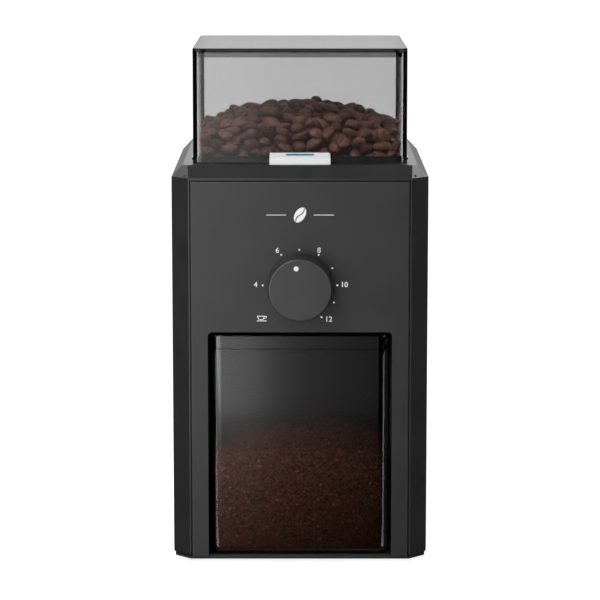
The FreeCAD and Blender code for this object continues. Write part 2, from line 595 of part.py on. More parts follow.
def grounds_container():
    outer = container_prism(0, CONT_Z, CONT_RIM_Z, CONT_R)
    low = [e for e in outer.Edges if abs(e.BoundBox.ZMax - CONT_Z) < 0.01]
    outer = outer.makeFillet(CONT_FOOT_R, low)
    inner = container_prism(CONT_WALL, CONT_Z + CONT_WALL, CONT_RIM_Z + 1, CONT_R - CONT_WALL)
    low = [e for e in inner.Edges if abs(e.BoundBox.ZMax - CONT_Z - CONT_WALL) < 0.01]
    inner = inner.makeFillet(CONT_FOOT_R - CONT_WALL, low)
    return outer.cut(inner)


def container_lid():
    skirt_z = CONT_RIM_Z + CLID_GAP
    shell = container_prism(0, skirt_z, CLID_Z, CONT_R)
    top = [e for e in shell.Edges if abs(e.BoundBox.ZMin - CLID_Z) < 0.01]
    shell = shell.makeFillet(0.8, top)
    shell = shell.cut(container_prism(CONT_WALL, skirt_z - 1, CLID_Z - CLID_T, CONT_R - CONT_WALL))
    seat = container_prism(1.0, CONT_RIM_Z, skirt_z + 1, CONT_R - 1)
    plug = container_prism(CONT_WALL + 0.25, CONT_RIM_Z - 2.5, CONT_RIM_Z, CONT_R - CONT_WALL - 0.25)
    bore = container_prism(CONT_WALL + 1.6, CONT_RIM_Z - 4, skirt_z + 2, CONT_R - CONT_WALL - 1.6)
    hole = rounded_prism(-CHUTE_HALF + 2, CHUTE_HALF - 2, CHUTE_Y0 + 2, CHUTE_Y1 - 2,
                         CLID_Z - 5, CLID_Z + 1, 2.0)
    return fuse([shell, seat.cut(bore), plug.cut(bore)]).cut(hole)


def ground_coffee():
    """Ground coffee as one closed solid: level against the front wall, heaped behind."""
    m = 0.06
    w = CONT_W / 2 - CONT_WALL - m
    y0, y1 = CONT_Y0 + CONT_WALL + m, CONT_Y1 - CONT_WALL - m
    z0 = CONT_Z + CONT_WALL + m
    z1 = z0 + GROUNDS_FRONT_H
    slab = rounded_prism(-w, w, y0, y1, z0, z1, CONT_R - CONT_WALL - m)
    low = [e for e in slab.Edges if abs(e.BoundBox.ZMax - z0) < 0.01]
    slab = slab.makeFillet(CONT_FOOT_R - CONT_WALL - m, low)
    foot = rounded_wire(-w + 1, w - 1, y0 + 1, y1 - 1, z1, 3.0)
    crest = rounded_wire(-w / 2, w / 2, y0 + 30, y1 - 20, z1 + GROUNDS_HEAP_H, 3.0)
    heap = Part.makeLoft([foot, crest], True, True)
    return fuse([slab, heap])


# ================================================================ motor
def motor_can():
    top = DECK_TOP
    can = cyl(0, MOTOR_Y, top - MOTOR_L, top, MOTOR_R)
    can = can.makeFillet(2.0, [e for e in can.Edges if abs(e.BoundBox.ZMin - top) < 0.01])
    inside = cyl(0, MOTOR_Y, top - MOTOR_L - 1, top - 1.6, MOTOR_R - 1.4)
    can = can.cut(inside).cut(cyl(0, MOTOR_Y, top - 3, top + 1, 4.2))
    for x, y in motor_screw_places():
        can = can.cut(cyl(x, y, top - 3, top + 1, SCREW_PILOT))
    for i in range(4):
        can = can.cut(spun(box(MOTOR_R - 3, MOTOR_R + 1, MOTOR_Y - 4, MOTOR_Y + 4, top - 16, top - 8),
                           0, MOTOR_Y, 45 + 90 * i))
    return can


def motor_screw_places():
    return [(s * 13.0, MOTOR_Y) for s in (-1, 1)]


def motor_screws():
    return Part.makeCompound([screw(x, y, GBOX_TOP, GBOX_T + 1.5) for x, y in motor_screw_places()])


def motor_magnets():
    z1 = DECK_TOP - 20.0
    ring = tube(0, MOTOR_Y, z1 - 40.0, z1, MOTOR_R - 1.5, MOTOR_R - 6.0)
    gap = box(-MOTOR_R, MOTOR_R, MOTOR_Y - 7, MOTOR_Y + 7, z1 - 50, z1 + 1)
    return ring.cut(gap)


def motor_end_cap():
    z1 = DECK_TOP - MOTOR_L
    cap = tube(0, MOTOR_Y, z1 - CAP_L, z1, MOTOR_R, MOTOR_R - 3)
    cap = cap.fuse(cyl(0, MOTOR_Y, z1 - CAP_L, z1 - CAP_L + 2.5, MOTOR_R - 2))
    cap = cap.cut(cyl(0, MOTOR_Y, z1 - CAP_L - 1, z1, MSHAFT_R + 0.3))
    vent = box(8, 16, MOTOR_Y - 2, MOTOR_Y + 2, z1 - CAP_L - 1, z1 - CAP_L + 3)
    for i in range(6):
        cap = cap.cut(spun(vent, 0, MOTOR_Y, 60 * i))
    return cap


def carbon_brushes():
    z1 = DECK_TOP - MOTOR_L
    z = z1 - CAP_L + 3.5
    return Part.makeCompound([box(min(a, b), max(a, b), MOTOR_Y - 2, MOTOR_Y + 2, z, z + 5)
                              for a, b in ((-14.0, -6.2), (6.2, 14.0))])


def armature():
    """Laminated core with slots and the commutator, on the motor shaft."""
    z1 = DECK_TOP - 20.0
    core = cyl(0, MOTOR_Y, z1 - 38.0, z1 - 2.0, MOTOR_R - 6.8)
    for i in range(8):
        core = core.cut(spun(box(8, MOTOR_R, MOTOR_Y - 1, MOTOR_Y + 1, z1 - 45, z1), 0, MOTOR_Y, 45 * i))
    commutator = cyl(0, MOTOR_Y, DECK_TOP - MOTOR_L - CAP_L + 2.9, z1 - 38.0, 6.0)
    return core.fuse(commutator).cut(cyl(0, MOTOR_Y, 0, 200, MSHAFT_R)).removeSplitter()


def motor_shaft():
    return cyl(0, MOTOR_Y, DECK_TOP - MOTOR_L - CAP_L - 11.0, GEAR1_Z + GEAR1_T + 1.0, MSHAFT_R)


def motor_fan():
    z1 = DECK_TOP - MOTOR_L - CAP_L - 1.5
    hub = cyl(0, MOTOR_Y, z1 - 9.0, z1, 5.0)
    disc = cyl(0, MOTOR_Y, z1 - 1.5, z1, FAN_R)
    blades = [spun(box(4.5, FAN_R - 0.5, MOTOR_Y - 0.7, MOTOR_Y + 0.7, z1 - 8.0, z1), 0, MOTOR_Y, 45 * i)
              for i in range(8)]
    return fuse([hub, disc] + blades).cut(cyl(0, MOTOR_Y, 0, 200, MSHAFT_R))


# ================================================================ gear train
PHASE_OUT = 0.0
DIR_OUT = math.atan2(IDLER_Y - BURR_Y, IDLER_X)
PHASE_SMALL = mesh_phase(Z_OUT, PHASE_OUT, Z_SMALL, DIR_OUT)
DIR_BIG = math.atan2(MOTOR_Y - IDLER_Y, -IDLER_X)
PHASE_MOTOR = mesh_phase(Z_BIG, PHASE_SMALL, Z_MOTOR, DIR_BIG)


def output_gear():
    wheel = gear(M2, Z_OUT, 0, BURR_Y, GEAR2_Z, GEAR2_T, PHASE_OUT)
    web = tube(0, BURR_Y, GEAR2_Z + 2.5, GEAR2_Z + GEAR2_T + 1, 21.0, 9.0)
    wheel = wheel.cut(web).fuse(cyl(0, BURR_Y, GEAR2_Z - 3.0, GEAR2_Z, 8.0))
    return wheel.cut(cyl(0, BURR_Y, 0, 300, SHAFT_R)).removeSplitter()


def intermediate_gear():
    big = gear(M1, Z_BIG, IDLER_X, IDLER_Y, GEAR1_Z, GEAR1_T, PHASE_SMALL)
    web = tube(IDLER_X, IDLER_Y, GEAR1_Z + 2.5, GEAR1_Z + GEAR1_T + 1, 16.5, 7.5)
    z0 = GEAR1_Z + GEAR1_T - 0.5
    small = gear(M2, Z_SMALL, IDLER_X, IDLER_Y, z0, GEAR2_Z + GEAR2_T - z0, PHASE_SMALL)
    return fuse([big.cut(web), small]).cut(cyl(IDLER_X, IDLER_Y, 0, 300, PIN_R + RUN))


def motor_pinion():
    return gear(M1, Z_MOTOR, 0, MOTOR_Y, GEAR1_Z - 0.5, GEAR1_T + 1.0, PHASE_MOTOR).cut(
        cyl(0, MOTOR_Y, 0, 300, MSHAFT_R))


def intermediate_pin():
    return cyl(IDLER_X, IDLER_Y, DECK_TOP + 0.5, FLOOR_Z + 2.0, PIN_R)


def gearbox_screw_places():
    return [(x, BURR_Y + dy) for x, dy in ((-32.0, -20.0), (32.0, -20.0), (-32.0, 22.0), (36.0, 22.0))]


def gearbox_base():
    """Plate under the gears; it carries the motor, the intermediate pin and the lower bush."""
    plate = rounded_prism(-38, 42, BURR_Y - 26, MOTOR_Y + 16, DECK_TOP, GBOX_TOP, 6.0)
    plate = plate.fuse(cyl(0, BURR_Y, GBOX_TOP, GBOX_TOP + 1.5, BUSH_R + 2.5))
    plate = plate.cut(cyl(0, BURR_Y, DECK_TOP + 0.8, GBOX_TOP + 3, BUSH_R))
    plate = plate.cut(cyl(IDLER_X, IDLER_Y, DECK_TOP + 0.5, GBOX_TOP + 1, PIN_R))
    plate = plate.cut(cyl(0, MOTOR_Y, DECK_TOP - 1, GBOX_TOP + 1, 6.0))
    for x, y in motor_screw_places() + gearbox_screw_places():
        plate = plate.cut(cyl(x, y, DECK_TOP - 1, GBOX_TOP + 1, SCREW_PASS))
    return plate


def lower_bush():
    return tube(0, BURR_Y, DECK_TOP + 0.8, GBOX_TOP + 1.5, BUSH_R, SHAFT_R + RUN)


def upper_bush():
    return tube(0, BURR_Y, FLOOR_Z - 1.5, CHAMBER_Z, BUSH_R, SHAFT_R + RUN)


def burr_shaft():
    return cyl(0, BURR_Y, DECK_TOP + 0.9, NUT_TOP - 1.0, SHAFT_R)


# ================================================================ grinding chamber and burrs
def grinding_chamber():
    floor = rounded_prism(-38, 42, BURR_Y - CHAMBER_R - CHAMBER_WALL + 1, BURR_Y + 34,
                          FLOOR_Z, CHAMBER_Z, 8.0)
    wall = tube(0, BURR_Y, FLOOR_Z, CHAMBER_TOP, CHAMBER_R + CHAMBER_WALL, CHAMBER_R)
    collar = box(-CHUTE_HALF, CHUTE_HALF, CHUTE_Y1, BURR_Y - 24, FLOOR_Z, CHAMBER_Z + CHUTE_H + CHUTE_WALL)
    collar = collar.cut(cyl(0, BURR_Y, CHAMBER_Z - 10, CHAMBER_TOP, CHAMBER_R))
    body = fuse([floor, wall, collar])
    body = body.cut(box(-CHUTE_HALF + CHUTE_WALL, CHUTE_HALF - CHUTE_WALL, CHUTE_Y1 - 1, BURR_Y - 20,
                        CHAMBER_Z, CHAMBER_Z + CHUTE_H))
    key_way = box(-KEY_R - 0.4, KEY_R + 0.4, BURR_Y - KEY_HALF - 0.3, BURR_Y + KEY_HALF + 0.3,
                  UPPER_BURR_Z + 0.5, CHAMBER_TOP + 1)
    body = body.cut(key_way)
    pillars = [cyl(x, y, GBOX_TOP, FLOOR_Z, 3.6) for x, y in gearbox_screw_places()]
    body = fuse([body, cyl(0, BURR_Y, FLOOR_Z - 1.5, FLOOR_Z, BUSH_R + 2.0)] + pillars)
    body = body.cut(cyl(0, BURR_Y, FLOOR_Z - 3, CHAMBER_Z + 1, BUSH_R))
    body = body.cut(cyl(IDLER_X, IDLER_Y, FLOOR_Z - 1, FLOOR_Z + 2.0, PIN_R))
    for x, y in gearbox_screw_places():
        body = body.cut(cyl(x, y, GBOX_TOP - 1, DECK_TOP + SCREW_L, SCREW_PILOT))
    return body.removeSplitter()


def rotor():
    """Carrier of the lower burr, with fins that sweep the grounds to the chute."""
    disc = cyl(0, BURR_Y, ROTOR_Z, ROTOR_Z + ROTOR_T, 27.0)
    fin = box(24, CHAMBER_R - 0.8, BURR_Y - 1.3, BURR_Y + 1.3, ROTOR_Z, ROTOR_Z + ROTOR_T)
    fins = [spun(fin, 0, BURR_Y, 60 * i) for i in range(6)]
    hub = cyl(0, BURR_Y, ROTOR_Z + ROTOR_T, NUT_Z, LOWER_BORE - 0.1)
    return fuse([disc, hub] + fins).cut(cyl(0, BURR_Y, 0, 300, SHAFT_R))


def burr_ring(z0, bore, cut_at):
    """Hard steel ring with slanted V grooves in the face at cut_at."""
    ring = tube(0, BURR_Y, z0, z0 + BURR_T, BURR_R, bore)
    up = cut_at > z0 + BURR_T / 2
    depth = 1.6 if up else -1.6
    a, b = V(bore - 2, BURR_Y - 1.1 - 5, cut_at), V(bore - 2, BURR_Y + 1.1 - 5, cut_at)
    low = V(bore - 2, BURR_Y - 5, cut_at - depth)
    groove = Part.Face(polygon([a, b, low])).extrude(V(BURR_R - bore + 6, 3.0, 0))
    for i in range(BURR_TEETH):
        ring = ring.cut(spun(groove, 0, BURR_Y, 360.0 * i / BURR_TEETH))
    return ring


def lower_burr():
    return burr_ring(LOWER_BURR_Z, LOWER_BORE, LOWER_BURR_Z + BURR_T)


def upper_burr():
    return burr_ring(UPPER_BURR_Z, BURR_BORE, UPPER_BURR_Z)


def feed_nut():
    """Domed nut that holds the lower burr's carrier, with two wings that draw the beans in."""
    nut = cyl(0, BURR_Y, NUT_Z, NUT_Z + NUT_H, NUT_R)
    reach = BURR_BORE - 2.8
    wings = [box(-reach, reach, BURR_Y - 1.2, BURR_Y + 1.2, LOWER_BURR_Z + BURR_T + 0.3, NUT_Z + NUT_H)]
    cap = Part.makeCone(NUT_R, 3.0, 4.0, V(0, BURR_Y, NUT_Z + NUT_H), Z_AXIS)
    return fuse([nut, cap] + wings).cut(cyl(0, BURR_Y, 0, NUT_TOP - 1.0, SHAFT_R))


def upper_burr_carrier():
    """Screws into the adjuster ring; two keys stop it turning, so the ring lifts and lowers it."""
    ring = cyl(0, BURR_Y, CARRIER_Z, CARRIER_Z + CARRIER_T, CARRIER_R)
    throat = Part.makeCone(BURR_BORE, CARRIER_R - 5.0, CARRIER_T + 0.02,
                           V(0, BURR_Y, CARRIER_Z - 0.01), Z_AXIS)
    skirt = tube(0, BURR_Y, UPPER_BURR_Z + 1.5, CARRIER_Z, CARRIER_R, BURR_R + 0.1)
    keys = [box(min(x0, x1), max(x0, x1), BURR_Y - KEY_HALF, BURR_Y + KEY_HALF, UPPER_BURR_Z + 1.5, KEY_TOP)
            for x0, x1 in ((CARRIER_R - 1, KEY_R), (-CARRIER_R + 1, -KEY_R))]
    return fuse([ring, skirt] + keys).cut(throat)


def adjuster_ring():
    body = tube(0, BURR_Y, RING_Z, RING_Z + RING_T, CHAMBER_R + CHAMBER_WALL, CARRIER_R + 0.2)
    flange = tube(0, BURR_Y, CROWN_BODY_Z, RING_Z + RING_T, RING_R, CARRIER_R + 1.0)
    tip, root = M_CROWN, 1.25 * M_CROWN
    lean = math.tan(PRESSURE)
    half = math.pi * M_CROWN / 4 - BACKLASH
    r0, r1 = CROWN_R - CROWN_FACE / 2, CROWN_R + CROWN_FACE / 2
    teeth = []
    for i in range(CROWN_TEETH):
        profile = [V(r0, BURR_Y + s * (half + lean * h), CROWN_PITCH_Z + h)
                   for s, h in ((-1, -tip), (1, -tip), (1, root + 0.2), (-1, root + 0.2))]
        tooth = Part.Face(polygon(profile)).extrude(V(r1 - r0, 0, 0))
        teeth.append(spun(tooth, 0, BURR_Y, (i - (CROWN_TEETH - 1) / 2) * 360.0 / Z_CROWN))
    return fuse([body, flange] + teeth)


def funnel_seal():
    """Rubber ring that closes the gap between the funnel's neck and the burr carrier."""
    z0 = CARRIER_Z + CARRIER_T + 1.0
    return tube(0, BURR_Y, z0, NECK_Z - NECK_L, NECK_R + FUNNEL_T + 1.0, NECK_R)


# ================================================================ fineness dial
def fineness_shaft():
    """Shaft with a moulded pinion that meshes with the adjuster ring's crown teeth."""
    outline = involute_outline(M_CROWN, Z_PINION, 0, math.radians(180.0 / Z_PINION))
    pinion = Part.Face(polygon(outline)).extrude(V(0, 0, CROWN_FACE + 1.0))
    pinion.rotate(V(0, 0, 0), Y_AXIS, 90)
    x0 = CROWN_R - CROWN_FACE / 2 - 0.5
    pinion.translate(V(x0, BURR_Y, PINION_Z))
    return fuse([pinion, cyl_x(x0, HALF_W - KNOB2_T + 1.0, BURR_Y, PINION_Z, FSHAFT_R)])


def fineness_knob():
    """Flush dial with a raised grip bar inside a dished face and a serrated rim."""
    x1 = HALF_W - 0.3
    knob = cyl_x(x1 - KNOB2_T, x1, BURR_Y, PINION_Z, KNOB2_R)
    dish = cyl_x(x1 - 4.0, x1 + 1, BURR_Y, PINION_Z, KNOB2_R - 1.8)
    bar = box(x1 - 4.5, x1, BURR_Y - 2.2, BURR_Y + 2.2, PINION_Z - KNOB2_R + 1.0, PINION_Z + KNOB2_R - 1.0)
    knob = fuse([knob.cut(dish), bar])
    for i in range(KNOB2_NOTCHES):
        notch = cyl_x(x1 - 2.5, x1 + 1, BURR_Y, PINION_Z + KNOB2_R, 0.6)
        notch.rotate(V(0, BURR_Y, PINION_Z), X_AXIS, 360.0 * i / KNOB2_NOTCHES)
        knob = knob.cut(notch)
    return knob.cut(cyl_x(0, HALF_W - KNOB2_T + 1.0, BURR_Y, PINION_Z, FSHAFT_R))


def fineness_bracket():
    x0 = RING_R + 3.0
    post = box(x0, x0 + 4.0, BURR_Y - 6, BURR_Y + 6, DECK_TOP, PINION_Z + 5.5)
    foot = box(x0, x0 + 12.0, BURR_Y - 10, BURR_Y + 10, DECK_TOP, DECK_TOP + 3)
    return fuse([post, foot]).cut(cyl_x(x0 - 1, x0 + 5, BURR_Y, PINION_Z, FSHAFT_R + RUN))


# ================================================================ chute
def grounds_chute():
    top = CHAMBER_Z + CHUTE_H + CHUTE_WALL
    duct = box(-CHUTE_HALF, CHUTE_HALF, CHUTE_Y0, CHUTE_Y1, CHUTE_BOTTOM, top)
    duct = duct.cut(box(-CHUTE_HALF + CHUTE_WALL, CHUTE_HALF - CHUTE_WALL, CHUTE_Y0 + CHUTE_WALL,
                        CHUTE_Y1 - CHUTE_WALL, CHUTE_BOTTOM - 1, top - CHUTE_WALL))
    return duct.cut(box(-CHUTE_HALF + CHUTE_WALL, CHUTE_HALF - CHUTE_WALL,
                        CHUTE_Y1 - CHUTE_WALL - 1, CHUTE_Y1 + 1, CHAMBER_Z, CHAMBER_Z + CHUTE_H))


# ================================================================ controls
def dose_knob():
    """Tapered dial, hollow behind, with a hub on the potentiometer's shaft."""
    y0, y1 = FRONT_Y - DIAL_PROUD, FRONT_Y - 0.5
    body = Part.makeCone(DIAL_R1, DIAL_R0, y1 - y0, V(0, y0, DIAL_Z), Y_AXIS)
    body = body.makeFillet(0.6, [e for e in body.Edges if e.BoundBox.YMax < y0 + 0.01])
    hollow = Part.makeCone(DIAL_R1 - 1.8, DIAL_R0 - 1.8, y1 - y0 - 1.6, V(0, y0 + 2.0, DIAL_Z), Y_AXIS)
    hub = cyl_y(y0 + 1, FRONT_Y - POT_NUT_T - 0.4, 0, DIAL_Z, DIAL_SHAFT_R + 1.8)
    knob = body.cut(hollow).fuse(hub).cut(cyl_y(y0 + 3.0, y1 + 1, 0, DIAL_Z, DIAL_SHAFT_R))
    x, z = dial_dot()
    return knob.cut(cyl_y(y0 - 1, y0 + 0.6, x, z, DIAL_DOT_R)).removeSplitter()


def dial_dot():
    a = math.radians(DIAL_REST)
    return DIAL_DOT_AT * math.sin(a), DIAL_Z + DIAL_DOT_AT * math.cos(a)


def knob_pointer():
    x, z = dial_dot()
    y0 = FRONT_Y - DIAL_PROUD
    return cyl_y(y0 + 0.02, y0 + 0.6, x, z, DIAL_DOT_R)


def dose_shaft():
    return cyl_y(FRONT_Y - DIAL_PROUD + 3.2, FRONT_Y + PANEL_T + 3.0, 0, DIAL_Z, DIAL_SHAFT_R)


def potentiometer():
    y0 = FRONT_Y + PANEL_T
    body = cyl_y(y0, y0 + POT_T, 0, DIAL_Z, POT_R)
    neck = cyl_y(FRONT_Y - POT_NUT_T, y0, 0, DIAL_Z, POT_NECK_R)
    legs = [box(x - 0.5, x + 0.5, y0 + 1, y0 + 1.6, DIAL_Z - POT_R - 4, DIAL_Z - 5.5) for x in (-5, 0, 5)]
    bore = cyl_y(FRONT_Y - 5, FRONT_Y + PANEL_T + 3.2, 0, DIAL_Z, DIAL_SHAFT_R + RUN)
    return fuse([body, neck] + legs).cut(bore)


def potentiometer_nut():
    """Hexagon nut that clamps the potentiometer to the front panel, hidden inside the dial."""
    turns = [math.radians(60 * i) for i in range(6)]
    corners = [V(5.4 * math.cos(a), FRONT_Y - POT_NUT_T, DIAL_Z + 5.4 * math.sin(a)) for a in turns]
    hexagon = Part.Face(polygon(corners)).extrude(V(0, POT_NUT_T, 0))
    return hexagon.cut(cyl_y(FRONT_Y - 5, FRONT_Y + 1, 0, DIAL_Z, POT_NECK_R + 0.05))


def control_board():
    board = box(-BOARD_HALF, BOARD_HALF, BOARD_Y, BOARD_Y + BOARD_T, BOARD_Z0, BOARD_Z1)
    for x, z in board_post_places():
        board = board.cut(cyl_y(BOARD_Y - 1, BOARD_Y + BOARD_T + 1, x, z, SNAP_R + 0.1))
    return board


def board_post_places():
    return [(s * (BOARD_HALF - 3.5), z) for s in (-1, 1) for z in (BOARD_Z0 + 3.5, BOARD_Z1 - 3.5)]


def relay():
    y = BOARD_Y + BOARD_T
    return box(-28, -15, y, y + 9.5, BOARD_Z0 + 12, BOARD_Z0 + 30)


def capacitor():
    y = BOARD_Y + BOARD_T
    can = cyl(20.5, y + 5.2, BOARD_Z0 + 10, BOARD_Z0 + 28, 5.0)
    return can.makeFillet(0.8, [e for e in can.Edges if e.Closed])


def start_button():
    """Wedge-shaped push button, its top sloping up to the hopper, with a stem down to the switch."""
    z0 = TOP_Z - 2.0
    y0, y1 = BUTTON_Y0, BUTTON_Y0 + BUTTON_D
    side = [V(-BUTTON_HALF, y0, z0), V(-BUTTON_HALF, y1, z0), V(-BUTTON_HALF, y1, TOP_Z + BUTTON_BACK_H),
            V(-BUTTON_HALF, y0, TOP_Z + BUTTON_FRONT_H)]
    block = Part.Face(polygon(side)).extrude(V(2 * BUTTON_HALF, 0, 0))
    block = block.makeFillet(0.5, [e for e in block.Edges if e.BoundBox.ZMin > TOP_Z + 1])
    x0, x1, m0, m1 = button_mark_span()
    mark_cut = sloped_bar(x0, x1, m0, m1, 0.5)
    stem = cyl(0, (y0 + y1) / 2, GUIDE_Z - 0.9, z0, STEM_R)
    pad = box(-BUTTON_HALF, BUTTON_HALF, y0, y1, z0 - 0.01, z0 + 1)
    return fuse([block, pad, stem]).cut(mark_cut)


def button_mark_span():
    return -7.0, 7.0, BUTTON_D * 0.42, BUTTON_D * 0.72


def sloped_bar(x0, x1, d0, d1, depth):
    """Bar let into the button's sloping top, from d0 to d1 behind its front edge."""
    rise = (BUTTON_BACK_H - BUTTON_FRONT_H) / BUTTON_D
    z = [TOP_Z + BUTTON_FRONT_H + rise * d for d in (d0, d1)]
    pts = [V(x0, BUTTON_Y0 + d0, z[0] - depth), V(x0, BUTTON_Y0 + d1, z[1] - depth),
           V(x0, BUTTON_Y0 + d1, z[1] + 0.5), V(x0, BUTTON_Y0 + d0, z[0] + 0.5)]
    return Part.Face(polygon(pts)).extrude(V(x1 - x0, 0, 0))


def button_mark():
    x0, x1, d0, d1 = button_mark_span()
    rise = (BUTTON_BACK_H - BUTTON_FRONT_H) / BUTTON_D
    z = [TOP_Z + BUTTON_FRONT_H + rise * d for d in (d0, d1)]
    pts = [V(x0, BUTTON_Y0 + d0, z[0] - 0.5), V(x0, BUTTON_Y0 + d1, z[1] - 0.5),
           V(x0, BUTTON_Y0 + d1, z[1]), V(x0, BUTTON_Y0 + d0, z[0])]
    return Part.Face(polygon(pts)).extrude(V(x1 - x0, 0, 0))


def button_guide():
    """Bracket behind the front panel: guides the stem, seats the spring and holds the switch."""
    yc = BUTTON_Y0 + BUTTON_D / 2
    edge = BUTTON_HALF + 0.8
    reach = edge + 2.8
    plate = box(-reach, reach, FRONT_Y + PANEL_T + 2.3, yc + 6.5, GUIDE_Z, GUIDE_Z + GUIDE_T)
    parts = [plate, box(-16, 16, yc - 4.0, yc + 4.0, GUIDE_Z - SWITCH_H - 5, GUIDE_Z - SWITCH_H - 3)]
    for x0, x1 in ((-16, -13.2), (13.2, 16)):
        parts.append(box(x0, x1, yc - 4.0, yc + 4.0, GUIDE_Z - SWITCH_H - 3, GUIDE_Z))
    for x0, x1 in ((-reach, -edge), (edge, reach)):
        parts.append(box(x0, x1, yc - 0.5, yc + 4.0, GUIDE_Z, TOP_Z - WALL))
    return fuse(parts).cut(cyl(0, yc, GUIDE_Z - 1, GUIDE_Z + GUIDE_T + 1, STEM_R + 0.15))


def start_switch():
    yc = BUTTON_Y0 + BUTTON_D / 2
    z1 = GUIDE_Z - 1.1 - PLUNGER_UP
    body = box(-10, 10, yc - 3.2, yc + 3.2, GUIDE_Z - SWITCH_H - 2.9, z1)
    return body.cut(cyl(0, yc, z1 - 4.5, z1 + 1, 1.35))


def switch_plunger():
    yc = BUTTON_Y0 + BUTTON_D / 2
    z1 = GUIDE_Z - 1.1
    return cyl(0, yc, z1 - PLUNGER_UP - 2.5, z1, 1.2)


def button_spring():
    yc = BUTTON_Y0 + BUTTON_D / 2
    z0, z1 = GUIDE_Z + GUIDE_T + WIRE_R + 0.02, TOP_Z - 2.05 - WIRE_R - 0.02
    helix = Part.makeHelix((z1 - z0) / SPRING_TURNS, z1 - z0, SPRING_R)
    section = Part.Wire([Part.Circle(V(SPRING_R, 0, 0), V(0, 1, 0), WIRE_R).toShape()])
    coil = Part.Wire(helix).makePipeShell([section], True, True)
    coil.translate(V(0, yc, z0))
    return coil


def safety_switch():
    y0 = BAY_BACK + BAY_WALL + 1.0
    body = box(SAFETY_X - 10, SAFETY_X + 10, y0, y0 + 10, SAFETY_Z - 7, SAFETY_Z + 7)
    lugs = box(SAFETY_X - 14, SAFETY_X + 14, y0 - 1.0, y0, SAFETY_Z - 7, SAFETY_Z + 7)
    return fuse([body, lugs]).cut(cyl_y(y0 - 2, y0 + 7, SAFETY_X, SAFETY_Z, SAFETY_R + 0.15))


def safety_plunger():
    return cyl_y(CONT_Y1 + 0.3, BAY_BACK + BAY_WALL + 5.0, SAFETY_X, SAFETY_Z, SAFETY_R)


def terminal_block():
    block = box(GLAND_X - 9, GLAND_X + 9, TERMINAL_Y - 6, TERMINAL_Y + 6, BASE_TOP, BASE_TOP + 16)
    for x in (GLAND_X - 4.5, GLAND_X + 4.5):
        block = block.cut(cyl(x, TERMINAL_Y, BASE_TOP + 8, BASE_TOP + 17, 2.0))
    return block


def mains_wires():
    """Two insulated wires from the terminal block, up the left side, to the control board."""
    wires = []
    for side in (-1, 1):
        lane = 2.0 * side
        x_wall = -HALF_W + WALL + 5.5 + lane
        board_y = BOARD_Y + BOARD_T + 4.5 + lane
        x_end = GLAND_X + 4.5 * side
        wires.append(route([
            (x_end, TERMINAL_Y, BASE_TOP + 9), (x_end, TERMINAL_Y, BASE_TOP + 33),
            (x_wall + 3, TERMINAL_Y - 5, 66), (x_wall, WIRE_Y, 94), (x_wall, WIRE_Y - 2, 119),
            (x_wall + 1, WIRE_Y - 22, 133 + lane), (x_wall, WIRE_Y - 48, 132 + lane),
            (x_wall + 3, WIRE_Y - 74, 134 + lane), (-42 + lane, board_y + 6, 134 + lane),
            (-BOARD_HALF + 1, board_y, 135 + lane),
        ], 1.0))
    return Part.makeCompound(wires)


PARTS = [
    main_housing, front_panel, base_plate, rubber_feet, case_screws, chassis, cord_gland,
    bean_hopper, hopper_lid, hopper_funnel, coffee_beans,
    grounds_container, container_lid, ground_coffee,
    motor_can, motor_screws, motor_magnets, motor_end_cap, carbon_brushes, armature, motor_shaft, motor_fan,
    output_gear, intermediate_gear, motor_pinion, intermediate_pin, gearbox_base, lower_bush, upper_bush,
    burr_shaft, grinding_chamber, rotor, lower_burr, upper_burr, feed_nut, upper_burr_carrier, adjuster_ring,
    funnel_seal, fineness_shaft, fineness_knob, fineness_bracket, grounds_chute,
    dose_knob, knob_pointer, dose_shaft, potentiometer, potentiometer_nut, control_board, relay, capacitor,
    start_button, button_mark, button_guide, button_spring, start_switch, switch_plunger,
    safety_switch, safety_plunger, terminal_block, mains_wires,
]


def main():
    os.makedirs("parts", exist_ok=True)
    for make in PARTS:
        shape = make()
        assert shape.isValid() and shape.Solids, make.__name__
        shape.exportStep("parts/" + make.__name__ + ".step")


main()
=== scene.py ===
"""The looks of the burr coffee grinder: materials, coffee beans, ground coffee, printed marks,
studio and camera. Blender works in metres; sizes below are in millimetres and pass through MM."""
import json
import math
import random

import bmesh
import bpy
import numpy as np
from mathutils import Euler, Matrix, Vector, noise


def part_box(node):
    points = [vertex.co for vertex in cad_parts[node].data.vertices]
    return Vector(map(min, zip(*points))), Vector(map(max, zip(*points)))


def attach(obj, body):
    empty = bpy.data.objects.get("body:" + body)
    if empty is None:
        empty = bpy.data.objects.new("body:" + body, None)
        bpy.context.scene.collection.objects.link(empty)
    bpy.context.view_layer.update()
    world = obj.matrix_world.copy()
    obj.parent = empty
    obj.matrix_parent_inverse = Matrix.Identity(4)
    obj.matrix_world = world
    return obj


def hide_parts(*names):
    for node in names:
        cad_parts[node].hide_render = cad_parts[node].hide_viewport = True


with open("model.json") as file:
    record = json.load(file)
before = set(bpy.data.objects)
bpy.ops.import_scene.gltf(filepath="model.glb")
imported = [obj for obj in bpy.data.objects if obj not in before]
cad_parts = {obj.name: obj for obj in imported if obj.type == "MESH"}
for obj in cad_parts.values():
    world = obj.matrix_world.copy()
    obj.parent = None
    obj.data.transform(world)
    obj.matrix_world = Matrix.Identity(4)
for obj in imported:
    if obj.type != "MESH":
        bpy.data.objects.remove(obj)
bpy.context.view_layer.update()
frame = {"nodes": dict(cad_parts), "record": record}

NODES = frame["nodes"]
MM = 0.001

# ------------------------------------------------------------------ node helpers
def new_material(name):
    """A material with a lone Principled shader; returns it with its tree and that shader."""
    mat = bpy.data.materials.new(name)
    mat.use_nodes = True
    tree = mat.node_tree
    shader = tree.nodes["Principled BSDF"]
    return mat, tree, shader


